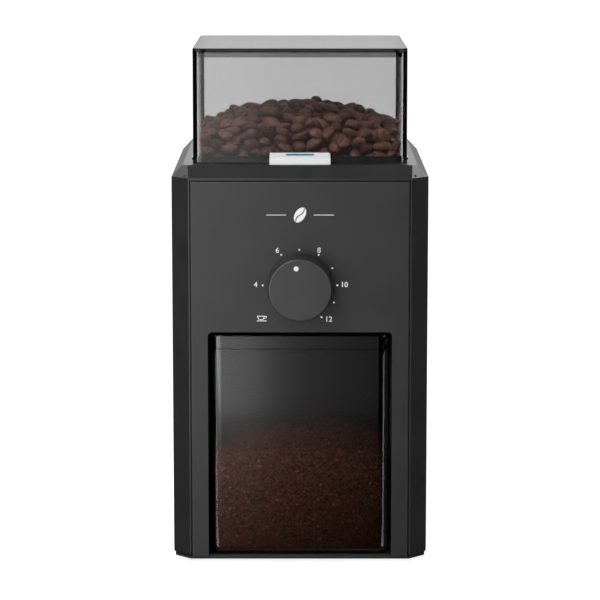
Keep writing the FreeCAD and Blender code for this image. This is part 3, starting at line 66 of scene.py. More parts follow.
def add(tree, kind, **settings):
    node = tree.nodes.new(kind)
    for key, value in settings.items():
        if key in node.inputs:
            node.inputs[key].default_value = value
        else:
            setattr(node, key, value)
    return node


def grain(tree, scale, detail=4.0, stretch=(1, 1, 1)):
    """Noise over the object's own coordinates; scale is in waves per metre."""
    place = add(tree, "ShaderNodeTexCoord")
    spread = add(tree, "ShaderNodeMapping")
    spread.inputs["Scale"].default_value = stretch
    field = add(tree, "ShaderNodeTexNoise", Scale=scale, Detail=detail)
    tree.links.new(place.outputs["Object"], spread.inputs["Vector"])
    tree.links.new(spread.outputs["Vector"], field.inputs["Vector"])
    return field


def ramp(tree, source, low, high, stops=(0.35, 0.65)):
    """Colour ramp from low to high driven by source."""
    node = add(tree, "ShaderNodeValToRGB")
    for element, at, colour in zip(node.color_ramp.elements, stops, (low, high)):
        element.position = at
        element.color = (*colour, 1)
    tree.links.new(source, node.inputs["Fac"])
    return node


def spread_value(tree, source, low, high):
    node = add(tree, "ShaderNodeMapRange")
    node.inputs["To Min"].default_value = low
    node.inputs["To Max"].default_value = high
    tree.links.new(source, node.inputs["Value"])
    return node


def tint(colour, factor):
    return tuple(c * factor for c in colour)


# ------------------------------------------------------------------ materials
def moulded(name, colour, roughness, texture_mm=0.35, bump_mm=0.01, edge_mm=0.25, coat=0.0, mottle=0.12):
    """Injection-moulded plastic: spark-eroded grain, cloudy tone, uneven sheen and softened edges."""
    mat, tree, shader = new_material(name)
    cloud = grain(tree, 40.0, 3.0)
    tone = ramp(tree, cloud.outputs["Fac"], tint(colour, 1 - mottle), tint(colour, 1 + mottle))
    tree.links.new(tone.outputs["Color"], shader.inputs["Base Color"])
    handled = grain(tree, 90.0, 6.0)
    sheen = spread_value(tree, handled.outputs["Fac"], roughness - 0.05, roughness + 0.07)
    tree.links.new(sheen.outputs["Result"], shader.inputs["Roughness"])
    pores = grain(tree, 1000.0 / texture_mm, 2.0)
    bump = add(tree, "ShaderNodeBump", Strength=0.35, Distance=bump_mm * MM)
    tree.links.new(pores.outputs["Fac"], bump.inputs["Height"])
    if edge_mm:
        edge = add(tree, "ShaderNodeBevel", samples=4, Radius=edge_mm * MM)
        tree.links.new(edge.outputs["Normal"], bump.inputs["Normal"])
    tree.links.new(bump.outputs["Normal"], shader.inputs["Normal"])
    shader.inputs["Coat Weight"].default_value = coat
    shader.inputs["Coat Roughness"].default_value = 0.12
    return mat


def metal(name, colour, roughness, stretch=(1, 1, 1), scale=900.0):
    """Metal with machining or rolling lines along the axis that stretch leaves long."""
    mat, tree, shader = new_material(name)
    lines = grain(tree, scale, 3.0, stretch)
    tone = ramp(tree, lines.outputs["Fac"], tint(colour, 0.85), tint(colour, 1.1))
    tree.links.new(tone.outputs["Color"], shader.inputs["Base Color"])
    rough = spread_value(tree, lines.outputs["Fac"], roughness * 0.7, roughness * 1.4)
    tree.links.new(rough.outputs["Result"], shader.inputs["Roughness"])
    bump = add(tree, "ShaderNodeBump", Strength=0.2, Distance=0.01 * MM)
    tree.links.new(lines.outputs["Fac"], bump.inputs["Height"])
    tree.links.new(bump.outputs["Normal"], shader.inputs["Normal"])
    shader.inputs["Metallic"].default_value = 1.0
    return mat


def near_border(tree, node_name, width_mm):
    """1 within width_mm of the sides of a node's box seen from above, 0 elsewhere."""
    lo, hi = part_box(node_name)
    place = add(tree, "ShaderNodeTexCoord")
    split = add(tree, "ShaderNodeSeparateXYZ")
    tree.links.new(place.outputs["Object"], split.inputs[0])
    sides = []
    for axis, name in ((0, "X"), (1, "Y")):
        middle, reach = (lo[axis] + hi[axis]) / 2, (hi[axis] - lo[axis]) / 2 - width_mm * MM
        off = add(tree, "ShaderNodeMath", operation="SUBTRACT")
        off.inputs[1].default_value = middle
        tree.links.new(split.outputs[name], off.inputs[0])
        away = add(tree, "ShaderNodeMath", operation="ABSOLUTE")
        tree.links.new(off.outputs["Value"], away.inputs[0])
        over = add(tree, "ShaderNodeMath", operation="GREATER_THAN")
        over.inputs[1].default_value = reach
        tree.links.new(away.outputs["Value"], over.inputs[0])
        sides.append(over)
    either = add(tree, "ShaderNodeMath", operation="MAXIMUM")
    tree.links.new(sides[0].outputs["Value"], either.inputs[0])
    tree.links.new(sides[1].outputs["Value"], either.inputs[1])
    return either


def smoke_plastic(name, colour, density, ior=1.45, painted_rim_shade_of=None):
    """Clear smoke-grey plastic with fine moulding haze. Lamps shine through it unbent.
    The last argument names a node whose sides get painted shade: the colour is darker near them, standing in
    for the darkening seen through its turned-down edges."""
    mat, tree, shader = new_material(name)
    shader.inputs["Base Color"].default_value = (*colour, 1)
    if painted_rim_shade_of:
        # Painted shade: the colour is darker within 1.5 mm of the node's sides.
        shade = add(tree, "ShaderNodeMix", data_type="RGBA")
        shade.inputs[6].default_value = (*colour, 1)
        shade.inputs[7].default_value = (*tint(colour, 0.5), 1)
        tree.links.new(near_border(tree, painted_rim_shade_of, 1.5).outputs["Value"], shade.inputs[0])
        tree.links.new(shade.outputs[2], shader.inputs["Base Color"])
    shader.inputs["Transmission Weight"].default_value = 1.0
    shader.inputs["IOR"].default_value = ior
    haze = grain(tree, 300.0, 3.0)
    rough = spread_value(tree, haze.outputs["Fac"], 0.015, 0.05)
    tree.links.new(rough.outputs["Result"], shader.inputs["Roughness"])
    clear = add(tree, "ShaderNodeBsdfTransparent", Color=(*colour, 1))
    path = add(tree, "ShaderNodeLightPath")
    mix = add(tree, "ShaderNodeMixShader")
    body = add(tree, "ShaderNodeVolumeAbsorption", Color=(0, 0, 0, 1), Density=density)
    output = tree.nodes["Material Output"]
    tree.links.new(path.outputs["Is Shadow Ray"], mix.inputs[0])
    tree.links.new(shader.outputs["BSDF"], mix.inputs[1])
    tree.links.new(clear.outputs["BSDF"], mix.inputs[2])
    tree.links.new(mix.outputs["Shader"], output.inputs["Surface"])
    tree.links.new(body.outputs["Volume"], output.inputs["Volume"])
    return mat


def bean_skin(name):
    """Oily roasted skin: each bean has its own tone, and the seam holds paler chaff."""
    mat, tree, shader = new_material(name)
    tone = add(tree, "ShaderNodeAttribute", attribute_name="tone")
    body = ramp(tree, tone.outputs["Fac"], (0.11, 0.043, 0.028), (0.235, 0.104, 0.070), (0.0, 1.0))
    veins = grain(tree, 900.0, 5.0)
    mottle = ramp(tree, veins.outputs["Fac"], (0.55, 0.55, 0.55), (1.3, 1.3, 1.3), (0.3, 0.75))
    shade = add(tree, "ShaderNodeMix", data_type="RGBA", blend_type="MULTIPLY")
    shade.inputs[0].default_value = 1.0
    tree.links.new(body.outputs["Color"], shade.inputs[6])
    tree.links.new(mottle.outputs["Color"], shade.inputs[7])
    seam = add(tree, "ShaderNodeAttribute", attribute_name="seam")
    chaff = add(tree, "ShaderNodeMix", data_type="RGBA")
    chaff.inputs[7].default_value = (0.20, 0.12, 0.075, 1)
    tree.links.new(seam.outputs["Fac"], chaff.inputs[0])
    tree.links.new(shade.outputs[2], chaff.inputs[6])
    tree.links.new(chaff.outputs[2], shader.inputs["Base Color"])
    shader.inputs["Specular IOR Level"].default_value = 0.18
    oil = spread_value(tree, veins.outputs["Fac"], 0.4, 0.6)
    tree.links.new(oil.outputs["Result"], shader.inputs["Roughness"])
    wrinkles = grain(tree, 1600.0, 4.0)
    bump = add(tree, "ShaderNodeBump", Strength=0.3, Distance=0.1 * MM)
    tree.links.new(wrinkles.outputs["Fac"], bump.inputs["Height"])
    tree.links.new(bump.outputs["Normal"], shader.inputs["Normal"])
    return mat


def ground_look(name):
    """Ground coffee: a brown powder, not damp, with single darker and paler grains. Its colour also carries
    painted light: paler towards the left, and painted shade lower down.
    """
    mat, tree, shader = new_material(name)
    fine = grain(tree, 1100.0, 6.0)
    body = ramp(tree, fine.outputs["Fac"], (0.0187, 0.0055, 0.0026), (0.067, 0.0222, 0.0108), (0.3, 0.7))
    place = add(tree, "ShaderNodeTexCoord")
    flecks = add(tree, "ShaderNodeTexVoronoi", Scale=950.0)
    tree.links.new(place.outputs["Object"], flecks.inputs["Vector"])
    each = add(tree, "ShaderNodeSeparateColor")
    tree.links.new(flecks.outputs["Color"], each.inputs["Color"])
    shade = add(tree, "ShaderNodeValToRGB")
    spots = shade.color_ramp.elements
    spots[0].color, spots[1].color = (0.4, 0.4, 0.4, 1), (2.4, 2.4, 2.4, 1)
    for at, level in ((0.2, 0.75), (0.5, 0.95), (0.94, 1.1)):
        spots.new(at).color = (level, level, level, 1)
    tree.links.new(each.outputs["Red"], shade.inputs["Fac"])
    tone = add(tree, "ShaderNodeMix", data_type="RGBA", blend_type="MULTIPLY")
    tone.inputs[0].default_value = 1.0
    tree.links.new(body.outputs["Color"], tone.inputs[6])
    tree.links.new(shade.outputs["Color"], tone.inputs[7])
    split = add(tree, "ShaderNodeSeparateXYZ")
    tree.links.new(place.outputs["Object"], split.inputs[0])
    # Painted light: the colour grows paler towards the left.
    painted_left_light = add(tree, "ShaderNodeMapRange")
    painted_left_light.inputs["From Min"].default_value, painted_left_light.inputs["From Max"].default_value = 45 * MM, -45 * MM
    painted_left_light.inputs["To Min"].default_value, painted_left_light.inputs["To Max"].default_value = 0.75, 2.9
    tree.links.new(split.outputs["X"], painted_left_light.inputs["Value"])
    # Painted shade: the colour grows darker lower down.
    painted_low_shade = add(tree, "ShaderNodeMapRange")
    painted_low_shade.inputs["From Max"].default_value = 45 * MM
    painted_low_shade.inputs["To Min"].default_value = 0.42
    tree.links.new(split.outputs["Z"], painted_low_shade.inputs["Value"])
    painted_light_gain = add(tree, "ShaderNodeMath", operation="MULTIPLY")
    tree.links.new(painted_left_light.outputs["Result"], painted_light_gain.inputs[0])
    tree.links.new(painted_low_shade.outputs["Result"], painted_light_gain.inputs[1])
    lit = add(tree, "ShaderNodeVectorMath", operation="SCALE")
    tree.links.new(tone.outputs[2], lit.inputs[0])
    tree.links.new(painted_light_gain.outputs["Value"], lit.inputs["Scale"])
    tree.links.new(lit.outputs["Vector"], shader.inputs["Base Color"])
    shader.inputs["Roughness"].default_value = 0.9
    shader.inputs["Specular IOR Level"].default_value = 0.0
    bump = add(tree, "ShaderNodeBump", Strength=1.0, Distance=0.45 * MM)
    tree.links.new(fine.outputs["Fac"], bump.inputs["Height"])
    tree.links.new(bump.outputs["Normal"], shader.inputs["Normal"])
    return mat


BLACK = (0.013, 0.013, 0.0135)
LOOKS = {
    "housing_black": moulded("housing_black", BLACK, 0.36),
    "panel_black": moulded("panel_black", (0.0125, 0.0125, 0.013), 0.46, texture_mm=0.3),
    "base_black": moulded("base_black", (0.014, 0.014, 0.014), 0.55),
    "rubber_black": moulded("rubber_black", (0.012, 0.012, 0.012), 0.8, texture_mm=0.8, bump_mm=0.03),
    "zinc_steel": metal("zinc_steel", (0.62, 0.62, 0.60), 0.35),
    "bright_steel": metal("bright_steel", (0.72, 0.72, 0.72), 0.2, (1, 1, 0.05)),
    "burr_steel": metal("burr_steel", (0.46, 0.46, 0.47), 0.3, (1, 1, 8)),
    "bronze": metal("bronze", (0.62, 0.42, 0.2), 0.4),
    "core_iron": metal("core_iron", (0.3, 0.2, 0.15), 0.5, (1, 1, 12)),
    "ferrite": moulded("ferrite", (0.03, 0.03, 0.032), 0.6, edge_mm=0),
    "inner_grey": moulded("inner_grey", (0.07, 0.07, 0.075), 0.5, edge_mm=0),
    "gear_nylon": moulded("gear_nylon", (0.72, 0.70, 0.64), 0.4, edge_mm=0),
    "smoke_clear": smoke_plastic("smoke_clear", (0.67, 0.67, 0.675), 6.0),
    # The hopper lid gets painted shade: a darker colour near its sides.
    "smoke_lid": smoke_plastic("smoke_lid", (0.32, 0.32, 0.325), 8.0, 1.1, "hopper_lid"),
    "funnel_black": moulded("funnel_black", (0.018, 0.018, 0.018), 0.3, edge_mm=0),
    "dial_black": moulded("dial_black", (0.026, 0.026, 0.027), 0.4, texture_mm=0.25, edge_mm=0.3),
    "print_white": moulded("print_white", (0.78, 0.78, 0.78), 0.45, edge_mm=0, mottle=0.03),
    "button_white": moulded("button_white", (0.82, 0.83, 0.84), 0.22, bump_mm=0.003, coat=0.3, mottle=0.015),
    "accent_blue": moulded("accent_blue", (0.035, 0.22, 0.40), 0.25, bump_mm=0.003, edge_mm=0, mottle=0.05),
    "circuit_green": moulded("circuit_green", (0.01, 0.10, 0.045), 0.35, edge_mm=0),
    "component_blue": moulded("component_blue", (0.02, 0.07, 0.3), 0.3, edge_mm=0),
    "component_black": moulded("component_black", (0.02, 0.02, 0.02), 0.35, edge_mm=0),
    "wire_brown": moulded("wire_brown", (0.10, 0.04, 0.018), 0.45, edge_mm=0),
    "roasted_beans": bean_skin("roasted_beans"),
    "ground_coffee": ground_look("ground_coffee"),
}


def dress_cad_nodes():
    slots = {part["node"]: part["material_slot"] for part in frame["record"]["subparts"]}
    for name, obj in NODES.items():
        for holder in obj.material_slots:
            holder.material = LOOKS[slots[name]]


# ------------------------------------------------------------------ piece helpers
def piece(name, mesh, slot, body, *nodes):
    """A mesh as an object that rides on a body and stands for the CAD nodes named."""
    obj = bpy.data.objects.new(name, mesh)
    bpy.context.scene.collection.objects.link(obj)
    mesh.materials.append(LOOKS[slot])
    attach(obj, body)
    if nodes:
        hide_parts(*nodes)
    return obj


def mesh_from(name, points, faces, smooth=True, **values):
    """A mesh from arrays; values are per-vertex numbers that become attributes."""
    mesh = bpy.data.meshes.new(name)
    mesh.from_pydata([tuple(p) for p in points], [], faces)
    for key, numbers in values.items():
        mesh.attributes.new(key, "FLOAT", "POINT").data.foreach_set("value", np.asarray(numbers, np.float32))
    mesh.shade_smooth() if smooth else mesh.shade_flat()
    mesh.update()
    return mesh


# ------------------------------------------------------------------ coffee beans
BEAN_L, BEAN_W, BEAN_H = 9.4, 7.0, 5.0
BEAN_RINGS, BEAN_SIDES = 11, 18
BEAN_SPACING = 6.2
BEAN_FLAT = 1.45          # beans that lie flat pack this much closer above one another
BEAN_GAP = 0.25           # between a bean and the hopper's walls
BEAN_SHELL = 10.0         # beans are only made this deep below what can be seen
random.seed(7)
RNG = np.random.default_rng(7)


def bean_shape():
    """One bean about the origin: domed above, flat below with a curved seam along its length."""
    points, seam = [], []
    for i in range(BEAN_RINGS + 1):
        polar = math.pi * i / BEAN_RINGS
        for k in range(BEAN_SIDES):
            turn = 2 * math.pi * k / BEAN_SIDES
            x = math.cos(polar)
            y = math.sin(polar) * math.sin(turn)
            z = math.sin(polar) * math.cos(turn)
            seam_y = 0.10 * math.sin(2.2 * x)
            near = math.exp(-((y - seam_y) / 0.13) ** 2) if z < 0 else 0.0
            fade = max(0.0, 1 - x ** 6)
            if z < 0:
                z = 0.42 * z + 0.30 * near * fade
            points.append((x * BEAN_L / 2, y * BEAN_W / 2 * (1 - 0.06 * x), (z - 0.25) * BEAN_H * 0.70))
            seam.append(near * fade)
    faces = []
    for i in range(BEAN_RINGS):
        for k in range(BEAN_SIDES):
            a, b = i * BEAN_SIDES + k, i * BEAN_SIDES + (k + 1) % BEAN_SIDES
            c, d = b + BEAN_SIDES, a + BEAN_SIDES
            if i == 0:
                faces.append((0, c, d))
            elif i == BEAN_RINGS - 1:
                faces.append((a, b, BEAN_RINGS * BEAN_SIDES))
            else:
                faces.append((a, b, c, d))
    keep = [0] + list(range(BEAN_SIDES, BEAN_RINGS * BEAN_SIDES)) + [BEAN_RINGS * BEAN_SIDES]
    index = {old: new for new, old in enumerate(keep)}
    faces = [tuple(index[v] for v in face) for face in faces]
    return np.array([points[v] for v in keep]), faces, np.array([seam[v] for v in keep])


def heap_height(x, y, room):
    """Height of the beans' surface: a low dome, higher towards the middle and the back."""
    (x0, y0, base), (x1, y1, top) = room
    u, v = (x - x0) / (x1 - x0) * 2 - 1, (y - y0) / (y1 - y0) * 2 - 1
    dome = (1 - abs(u) ** 2.2) * (1 - 0.75 * abs(v) ** 2.5)
    bumps = 1.0 * noise.noise(Vector((x, y, 0)) * 0.06) + 3.4 * noise.noise(Vector((x, y, 5)) * 0.17)
    return base + (top - base) * dome + bumps


def scatter_beans(room, floor_z):
    """Bean centres near the walls and the surface, at least BEAN_SPACING apart."""
    (x0, y0, _), (x1, y1, top) = room
    tries = RNG.uniform((x0 + 2, y0 + 2, floor_z), (x1 - 2, y1 - 2, top + 2), (40000, 3))
    centres = np.empty((0, 3))
    for x, y, z in tries:
        surface = heap_height(x, y, room)
        depth = min(x - x0, x1 - x, y - y0, y1 - y, surface - z)
        if not 0 < surface - z or depth > BEAN_SHELL:
            continue
        away = (centres - (x, y, z)) * (1, 1, BEAN_FLAT)
        if len(centres) and (away ** 2).sum(1).min() < BEAN_SPACING ** 2:
            continue
        centres = np.vstack((centres, (x, y, z)))
    return centres


def bean_turn():
    """Settled beans lie nearly flat, mostly with the domed side up."""
    lean = Vector((random.gauss(0, 0.45), random.gauss(0, 0.45), 1))
    if random.random() < 0.3:
        lean = -lean
    upright = lean.to_track_quat("Z", "X").to_matrix()
    return np.array(upright @ Matrix.Rotation(random.uniform(0, 2 * math.pi), 3, "Z"))


def make_beans():
    lo, hi = (np.array(c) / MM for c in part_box("coffee_beans"))
    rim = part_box("hopper_funnel")[1].z / MM
    inset = 0.4 - BEAN_GAP
    room = ((lo[0] - inset, lo[1] - inset, rim + 9.0), (hi[0] + inset, hi[1] + inset, hi[2] - 3.5))
    shape, faces, seam = bean_shape()
    groups = {"beans_front": [], "beans_middle": [], "beans_back": []}
    for centre in scatter_beans(room, rim - 4.0):
        share = (centre[1] - room[0][1]) / (room[1][1] - room[0][1])
        group = "beans_front" if share < 0.22 else "beans_middle" if share < 0.7 else "beans_back"
        groups[group].append(centre)
    for name, centres in groups.items():
        points, all_faces, tones, seams = [], [], [], []
        for centre in centres:
            scale = random.uniform(0.88, 1.1)
            size = scale * np.array([random.uniform(0.92, 1.05), 1, random.uniform(0.9, 1.1)])
            bean = (shape * size) @ bean_turn().T + centre
            for axis in (0, 1):
                bean[:, axis] += max(0.0, room[0][axis] - bean[:, axis].min())
                bean[:, axis] -= max(0.0, bean[:, axis].max() - room[1][axis])
            bean[:, 2] += max(0.0, rim - 5.0 - bean[:, 2].min())
            start = len(points) * len(shape)
            points.append(bean)
            all_faces += [tuple(v + start for v in face) for face in faces]
            tones.append(np.full(len(shape), random.random()))
            seams.append(seam)
        mesh = mesh_from(name, np.concatenate(points) * MM, all_faces,
                         tone=np.concatenate(tones), seam=np.concatenate(seams))
        piece(name, mesh, "roasted_beans", "root", "coffee_beans")
    make_bean_core(room, lo[2])


def rounded_ring(x0, x1, y0, y1, z, radius, steps=4):
    """Points round a rounded rectangle at height z."""
    ring = []
    for cx, cy, start in ((x1 - radius, y1 - radius, 0), (x0 + radius, y1 - radius, 90),
                          (x0 + radius, y0 + radius, 180), (x1 - radius, y0 + radius, 270)):
        for i in range(steps + 1):
            angle = math.radians(start + 90 * i / steps)
            ring.append((cx + radius * math.cos(angle), cy + radius * math.sin(angle), z))
    return ring


def skin_rings(rings):
    """Closed skin over rings of equal length, capped at both ends."""
    size = len(rings[0])
    points = [p for ring in rings for p in ring]
    faces = []
    for level in range(len(rings) - 1):
        for k in range(size):
            a, b = level * size + k, level * size + (k + 1) % size
            faces.append((a, b, b + size, a + size))
    faces.append(tuple(reversed(range(size))))
    faces.append(tuple(range(len(points) - size, len(points))))
    return points, faces


def make_bean_core(room, bottom):
    """The unseen beans below the surface and in the funnel, as one dark lump."""
    (x0, y0, wall_z), (x1, y1, top) = room
    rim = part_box("hopper_funnel")[1].z / MM
    middle = (y0 + y1) / 2
    neck = 21.0
    rings = [rounded_ring(-neck, neck, middle - neck, middle + neck, bottom + 0.5, neck - 1)]
    for inset, z in ((6.0, rim - 3.0), (5.5, rim), (5.5, wall_z - 7.0), (20.0, top - 9.0), (36.0, top - 6.5)):
        rings.append(rounded_ring(x0 + inset, x1 - inset, y0 + inset, y1 - inset, z, 5.0))
    points, faces = skin_rings(rings)
    zeros = np.zeros(len(points))
    mesh = mesh_from("beans_core", np.array(points) * MM, faces, tone=zeros, seam=zeros)
    piece("beans_core", mesh, "roasted_beans", "root", "coffee_beans")


# ------------------------------------------------------------------ ground coffee
GROUNDS_STEP = 1.1
GROUNDS_ROUGH = 0.32
GRAINS = 5200


def grounds_height(x, y, lo, hi, level):
    """Level against the front wall, then a heap that leans to the right."""
    u = (x - lo[0]) / (hi[0] - lo[0]) * 2 - 1
    v = (y - lo[1]) / (hi[1] - lo[1])
    rise = max(0.0, 1 - ((v - 0.5) / 0.5) ** 2)
    across = max(0.0, 1 - ((u - 0.14) / 1.35) ** 2) if u > 0.14 else max(0.0, 1 - ((u - 0.14) / 1.12) ** 2)
    lump = 0.9 * noise.noise(Vector((x, y, 3)) * 0.12)
    return level + (hi[2] - level - 1.0) * (rise ** 0.7) * across + lump * min(1.0, v * 8)


def make_grounds():
    """Ground coffee as a closed grid of grains pressed against the container's walls."""
    lo, hi = (np.array(c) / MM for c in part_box("ground_coffee"))
    level = lo[2] + 50.0
    radius = 4.0
    bm = bmesh.new()
    rings = []
    floor_round = 2.5
    for i in range(5):
        angle = math.radians(90 * i / 4)
        inset = floor_round * (1 - math.sin(angle))
        rings.append((inset, lo[2] + floor_round * (1 - math.cos(angle))))
    wall_levels = int((level - lo[2] - floor_round) / GROUNDS_STEP)
    rings += [(0.0, lo[2] + floor_round + (level - lo[2] - floor_round) * i / wall_levels)
              for i in range(1, wall_levels + 1)]
    nx, ny = int((hi[0] - lo[0]) / GROUNDS_STEP), int((hi[1] - lo[1]) / GROUNDS_STEP)
    edge = [(i / nx, 0.0) for i in range(nx)] + [(1.0, i / ny) for i in range(ny)]
    edge += [(1 - i / nx, 1.0) for i in range(nx)] + [(0.0, 1 - i / ny) for i in range(ny)]

    def place(u, v, inset):
        """A point of the unit square on the rounded rectangle, inset from the walls."""
        x = lo[0] + inset + u * (hi[0] - lo[0] - 2 * inset)
        y = lo[1] + inset + v * (hi[1] - lo[1] - 2 * inset)
        cx = min(max(x, lo[0] + inset + radius), hi[0] - inset - radius)
        cy = min(max(y, lo[1] + inset + radius), hi[1] - inset - radius)
        off = math.hypot(x - cx, y - cy)
        if x != cx and y != cy and off > radius:
            x, y = cx + (x - cx) * radius / off, cy + (y - cy) * radius / off
        return x, y

    def shaken(x, y, z, depth):
        spot = Vector((x, y, z))
        pull = GROUNDS_ROUGH * (noise.noise(spot * 0.9) * 0.5 + noise.noise(spot * 2.3) * 0.5 + 0.6) * depth
        middle = Vector(((lo[0] + hi[0]) / 2, (lo[1] + hi[1]) / 2, z))
        inward = (middle - spot).normalized() if (middle - spot).length > 1 else Vector((0, 0, 0))
        return spot + inward * pull

    columns = [[bm.verts.new(shaken(*place(u, v, inset), z, 1.0)) for u, v in edge] for inset, z in rings]
    for lower, upper in zip(columns, columns[1:]):
        for k in range(len(edge)):
            n = (k + 1) % len(edge)
            bm.faces.new((lower[k], lower[n], upper[n], upper[k]))
    cap(bm, columns[0], nx, ny, place, floor_round, lambda x, y: lo[2], True)
    cap(bm, columns[-1], nx, ny, place, 0.0, lambda x, y: grounds_height(x, y, lo, hi, level), False)
    bmesh.ops.recalc_face_normals(bm, faces=bm.faces)
    mesh = bpy.data.meshes.new("grounds_heap")
    bm.to_mesh(mesh)
    bm.free()
    mesh.transform(Matrix.Scale(MM, 4))
    mesh.shade_smooth()
    piece("grounds_heap", mesh, "ground_coffee", "container", "ground_coffee")
    piece("loose_grains", loose_grains(lo, hi, level, place), "ground_coffee", "container", "ground_coffee")


def cap(bm, ring, nx, ny, place, inset, height, flip):
    """Closes a ring of grid edge points with an nx by ny grid at the given height."""
    at = {}
    walk = [(i, 0) for i in range(nx)] + [(nx, j) for j in range(ny)]
    walk += [(nx - i, ny) for i in range(nx)] + [(0, ny - j) for j in range(ny)]
    for spot, vert in zip(walk, ring):
        at[spot] = vert
    for i in range(1, nx):
        for j in range(1, ny):
            x, y = place(i / nx, j / ny, inset)
            z = height(x, y)
            if not flip:
                z += GROUNDS_ROUGH * 1.5 * noise.noise(Vector((x, y, 0)) * 1.7)
            at[(i, j)] = bm.verts.new((x, y, z))
    for i in range(nx):
        for j in range(ny):
            corners = [at[(i, j)], at[(i + 1, j)], at[(i + 1, j + 1)], at[(i, j + 1)]]
            bm.faces.new(corners[::-1] if flip else corners)


def loose_grains(lo, hi, level, place):
    """Loose grains half sunk in the heap's top."""
    bm = bmesh.new()
    bmesh.ops.create_icosphere(bm, subdivisions=1, radius=1.0)
    ball = np.array([v.co for v in bm.verts])
    sides = [tuple(v.index for v in face.verts) for face in bm.faces]
    bm.free()
    points, faces = [], []
    for n in range(GRAINS):
        u, v = random.uniform(0.01, 0.99), random.random() ** 1.3 * 0.98 + 0.01
        x, y = place(u, v, 1.0)
        z = grounds_height(x, y, lo, hi, level) + random.uniform(-0.1, 0.25)
        turn = np.array(Euler([random.uniform(0, math.pi) for _ in range(3)]).to_matrix())
        size = random.uniform(0.28, 0.62) * np.array([random.uniform(0.8, 1.6), 1, random.uniform(0.6, 1)])
        points.append((ball * size) @ turn.T + (x, y, z))
        faces += [tuple(k + n * len(ball) for k in side) for side in sides]
    return mesh_from("loose_grains", np.concatenate(points) * MM, faces, smooth=False)


# ------------------------------------------------------------------ printed marks
PRINT_T = 0.02            # thickness of the ink
DOT_R, SCALE_R = 0.5, 18.9
NUMERAL_H = 2.65
NUMERALS = {4: (-22.4, 1.1), 6: (-11.4, 18.5), 8: (9.6, 18.6), 10: (22.4, 1.1), 12: (14.5, -16.6)}
CUPS = {4: -87.6, 6: -30, 7: -1, 8: 30, 9: 59.7, 10: 87.6, 11: 115, 12: 145}
PANEL_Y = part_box("front_panel")[0].y / MM
KNOB_LO, KNOB_HI = (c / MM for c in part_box("dose_knob"))
DIAL_Z = (KNOB_LO.z + KNOB_HI.z) / 2


def flat_shape(name, outline, x, z, holes=()):
    """Ink on the front panel in the shape of a closed outline about (x, z)."""
    curve = bpy.data.curves.new(name, "CURVE")
    curve.dimensions = "2D"
    curve.fill_mode = "BOTH"
    curve.extrude = PRINT_T * MM
    for loop in (outline, *holes):
        spline = curve.splines.new("POLY")
        spline.points.add(len(loop) - 1)
        for point, (px, pz) in zip(spline.points, loop):
            point.co = (px * MM, pz * MM, 0, 1)
        spline.use_cyclic_u = True
    return print_curve(name, curve, x, z)


def print_curve(name, curve, x, z):
    """Turns a flat curve or text into a mesh that lies on the front panel, facing the user."""
    holder = bpy.data.objects.new(name, curve)
    bpy.context.scene.collection.objects.link(holder)
    bpy.context.view_layer.update()
    view = bpy.context.evaluated_depsgraph_get()
    mesh = bpy.data.meshes.new_from_object(holder.evaluated_get(view))
    bpy.data.objects.remove(holder)
    mesh.transform(Matrix.Translation((x * MM, (PANEL_Y - PRINT_T / 2) * MM, z * MM))
                   @ Matrix.Rotation(math.pi / 2, 4, "X"))
    mesh.materials.clear()
    return piece(name, mesh, "print_white", "root")


def disc(radius, sides=24):
    return [(radius * math.cos(2 * math.pi * i / sides), radius * math.sin(2 * math.pi * i / sides))
            for i in range(sides)]


def numeral(number, x, z):
    text = bpy.data.curves.new(f"numeral_{number}", "FONT")
    text.body = str(number)
    text.size = NUMERAL_H / 0.70 * MM
    text.align_x = "CENTER"
    text.align_y = "CENTER"
    text.offset = 0.055 * MM
    text.extrude = PRINT_T * MM
    print_curve(f"numeral_{number}", text, x, z)


def cup_sign(x, z):
    """Generic cup on a saucer, for the dose scale."""
    bowl = [(-2.3, 1.3), (1.6, 1.3), (1.6, 0.9), (1.0, -0.5), (0.4, -0.9), (-1.1, -0.9), (-1.7, -0.5),
            (-2.3, 0.9)]
    inside = [(-1.85, 0.95), (1.15, 0.95), (0.65, -0.35), (0.2, -0.58), (-0.9, -0.58), (-1.35, -0.35)]
    flat_shape("cup_bowl", bowl, x, z, [inside])
    flat_shape("cup_handle", [(1.7, 1.2), (2.5, 1.05), (2.6, 0.35), (1.3, -0.4), (1.4, -0.05), (2.2, 0.4),
                              (2.1, 0.8), (1.6, 0.9)], x, z)
    flat_shape("cup_saucer", [(-2.5, -1.15), (2.5, -1.15), (2.5, -1.5), (-2.5, -1.5)], x, z)


def bean_sign(x, z):
    """Generic bean between two thin lines, where such a panel has its badge."""
    for side in (-1, 1):
        edge = [(2.6 * math.cos(a), 4.2 * math.sin(a)) for a in np.linspace(math.pi / 2, 3 * math.pi / 2, 15)]
        seam = [(-0.28 - 0.7 * math.sin(2 * math.pi * t), -4.1 + 8.2 * t)
                for t in np.linspace(0.06, 0.94, 11)]
        half = [(px * 1.0, pz) for px, pz in edge] + seam
        half = half if side < 0 else [(-px, -pz) for px, pz in half]
        flat_shape(f"bean_half_{'left' if side < 0 else 'right'}", rotated(half, -32), x, z)
        line = [(7.0, -0.16), (17.0, -0.16), (17.0, 0.16), (7.0, 0.16)]
        flat_shape(f"bean_line_{'left' if side < 0 else 'right'}", [(side * px, pz) for px, pz in line], x, z)


def rotated(points, degrees):
    c, s = math.cos(math.radians(degrees)), math.sin(math.radians(degrees))
    return [(c * px - s * pz, s * px + c * pz) for px, pz in points]


def dose_scale():
    for number, degrees in CUPS.items():
        a = math.radians(degrees)
        flat_shape(f"dose_dot_{number}", disc(DOT_R), SCALE_R * math.sin(a), DIAL_Z + SCALE_R * math.cos(a))
    for number, (x, up) in NUMERALS.items():
        numeral(number, x, DIAL_Z + up)
    cup_sign(-19.4, DIAL_Z - 16.1)


# ------------------------------------------------------------------ studio and camera
FLOOR_GLOW = 0.9
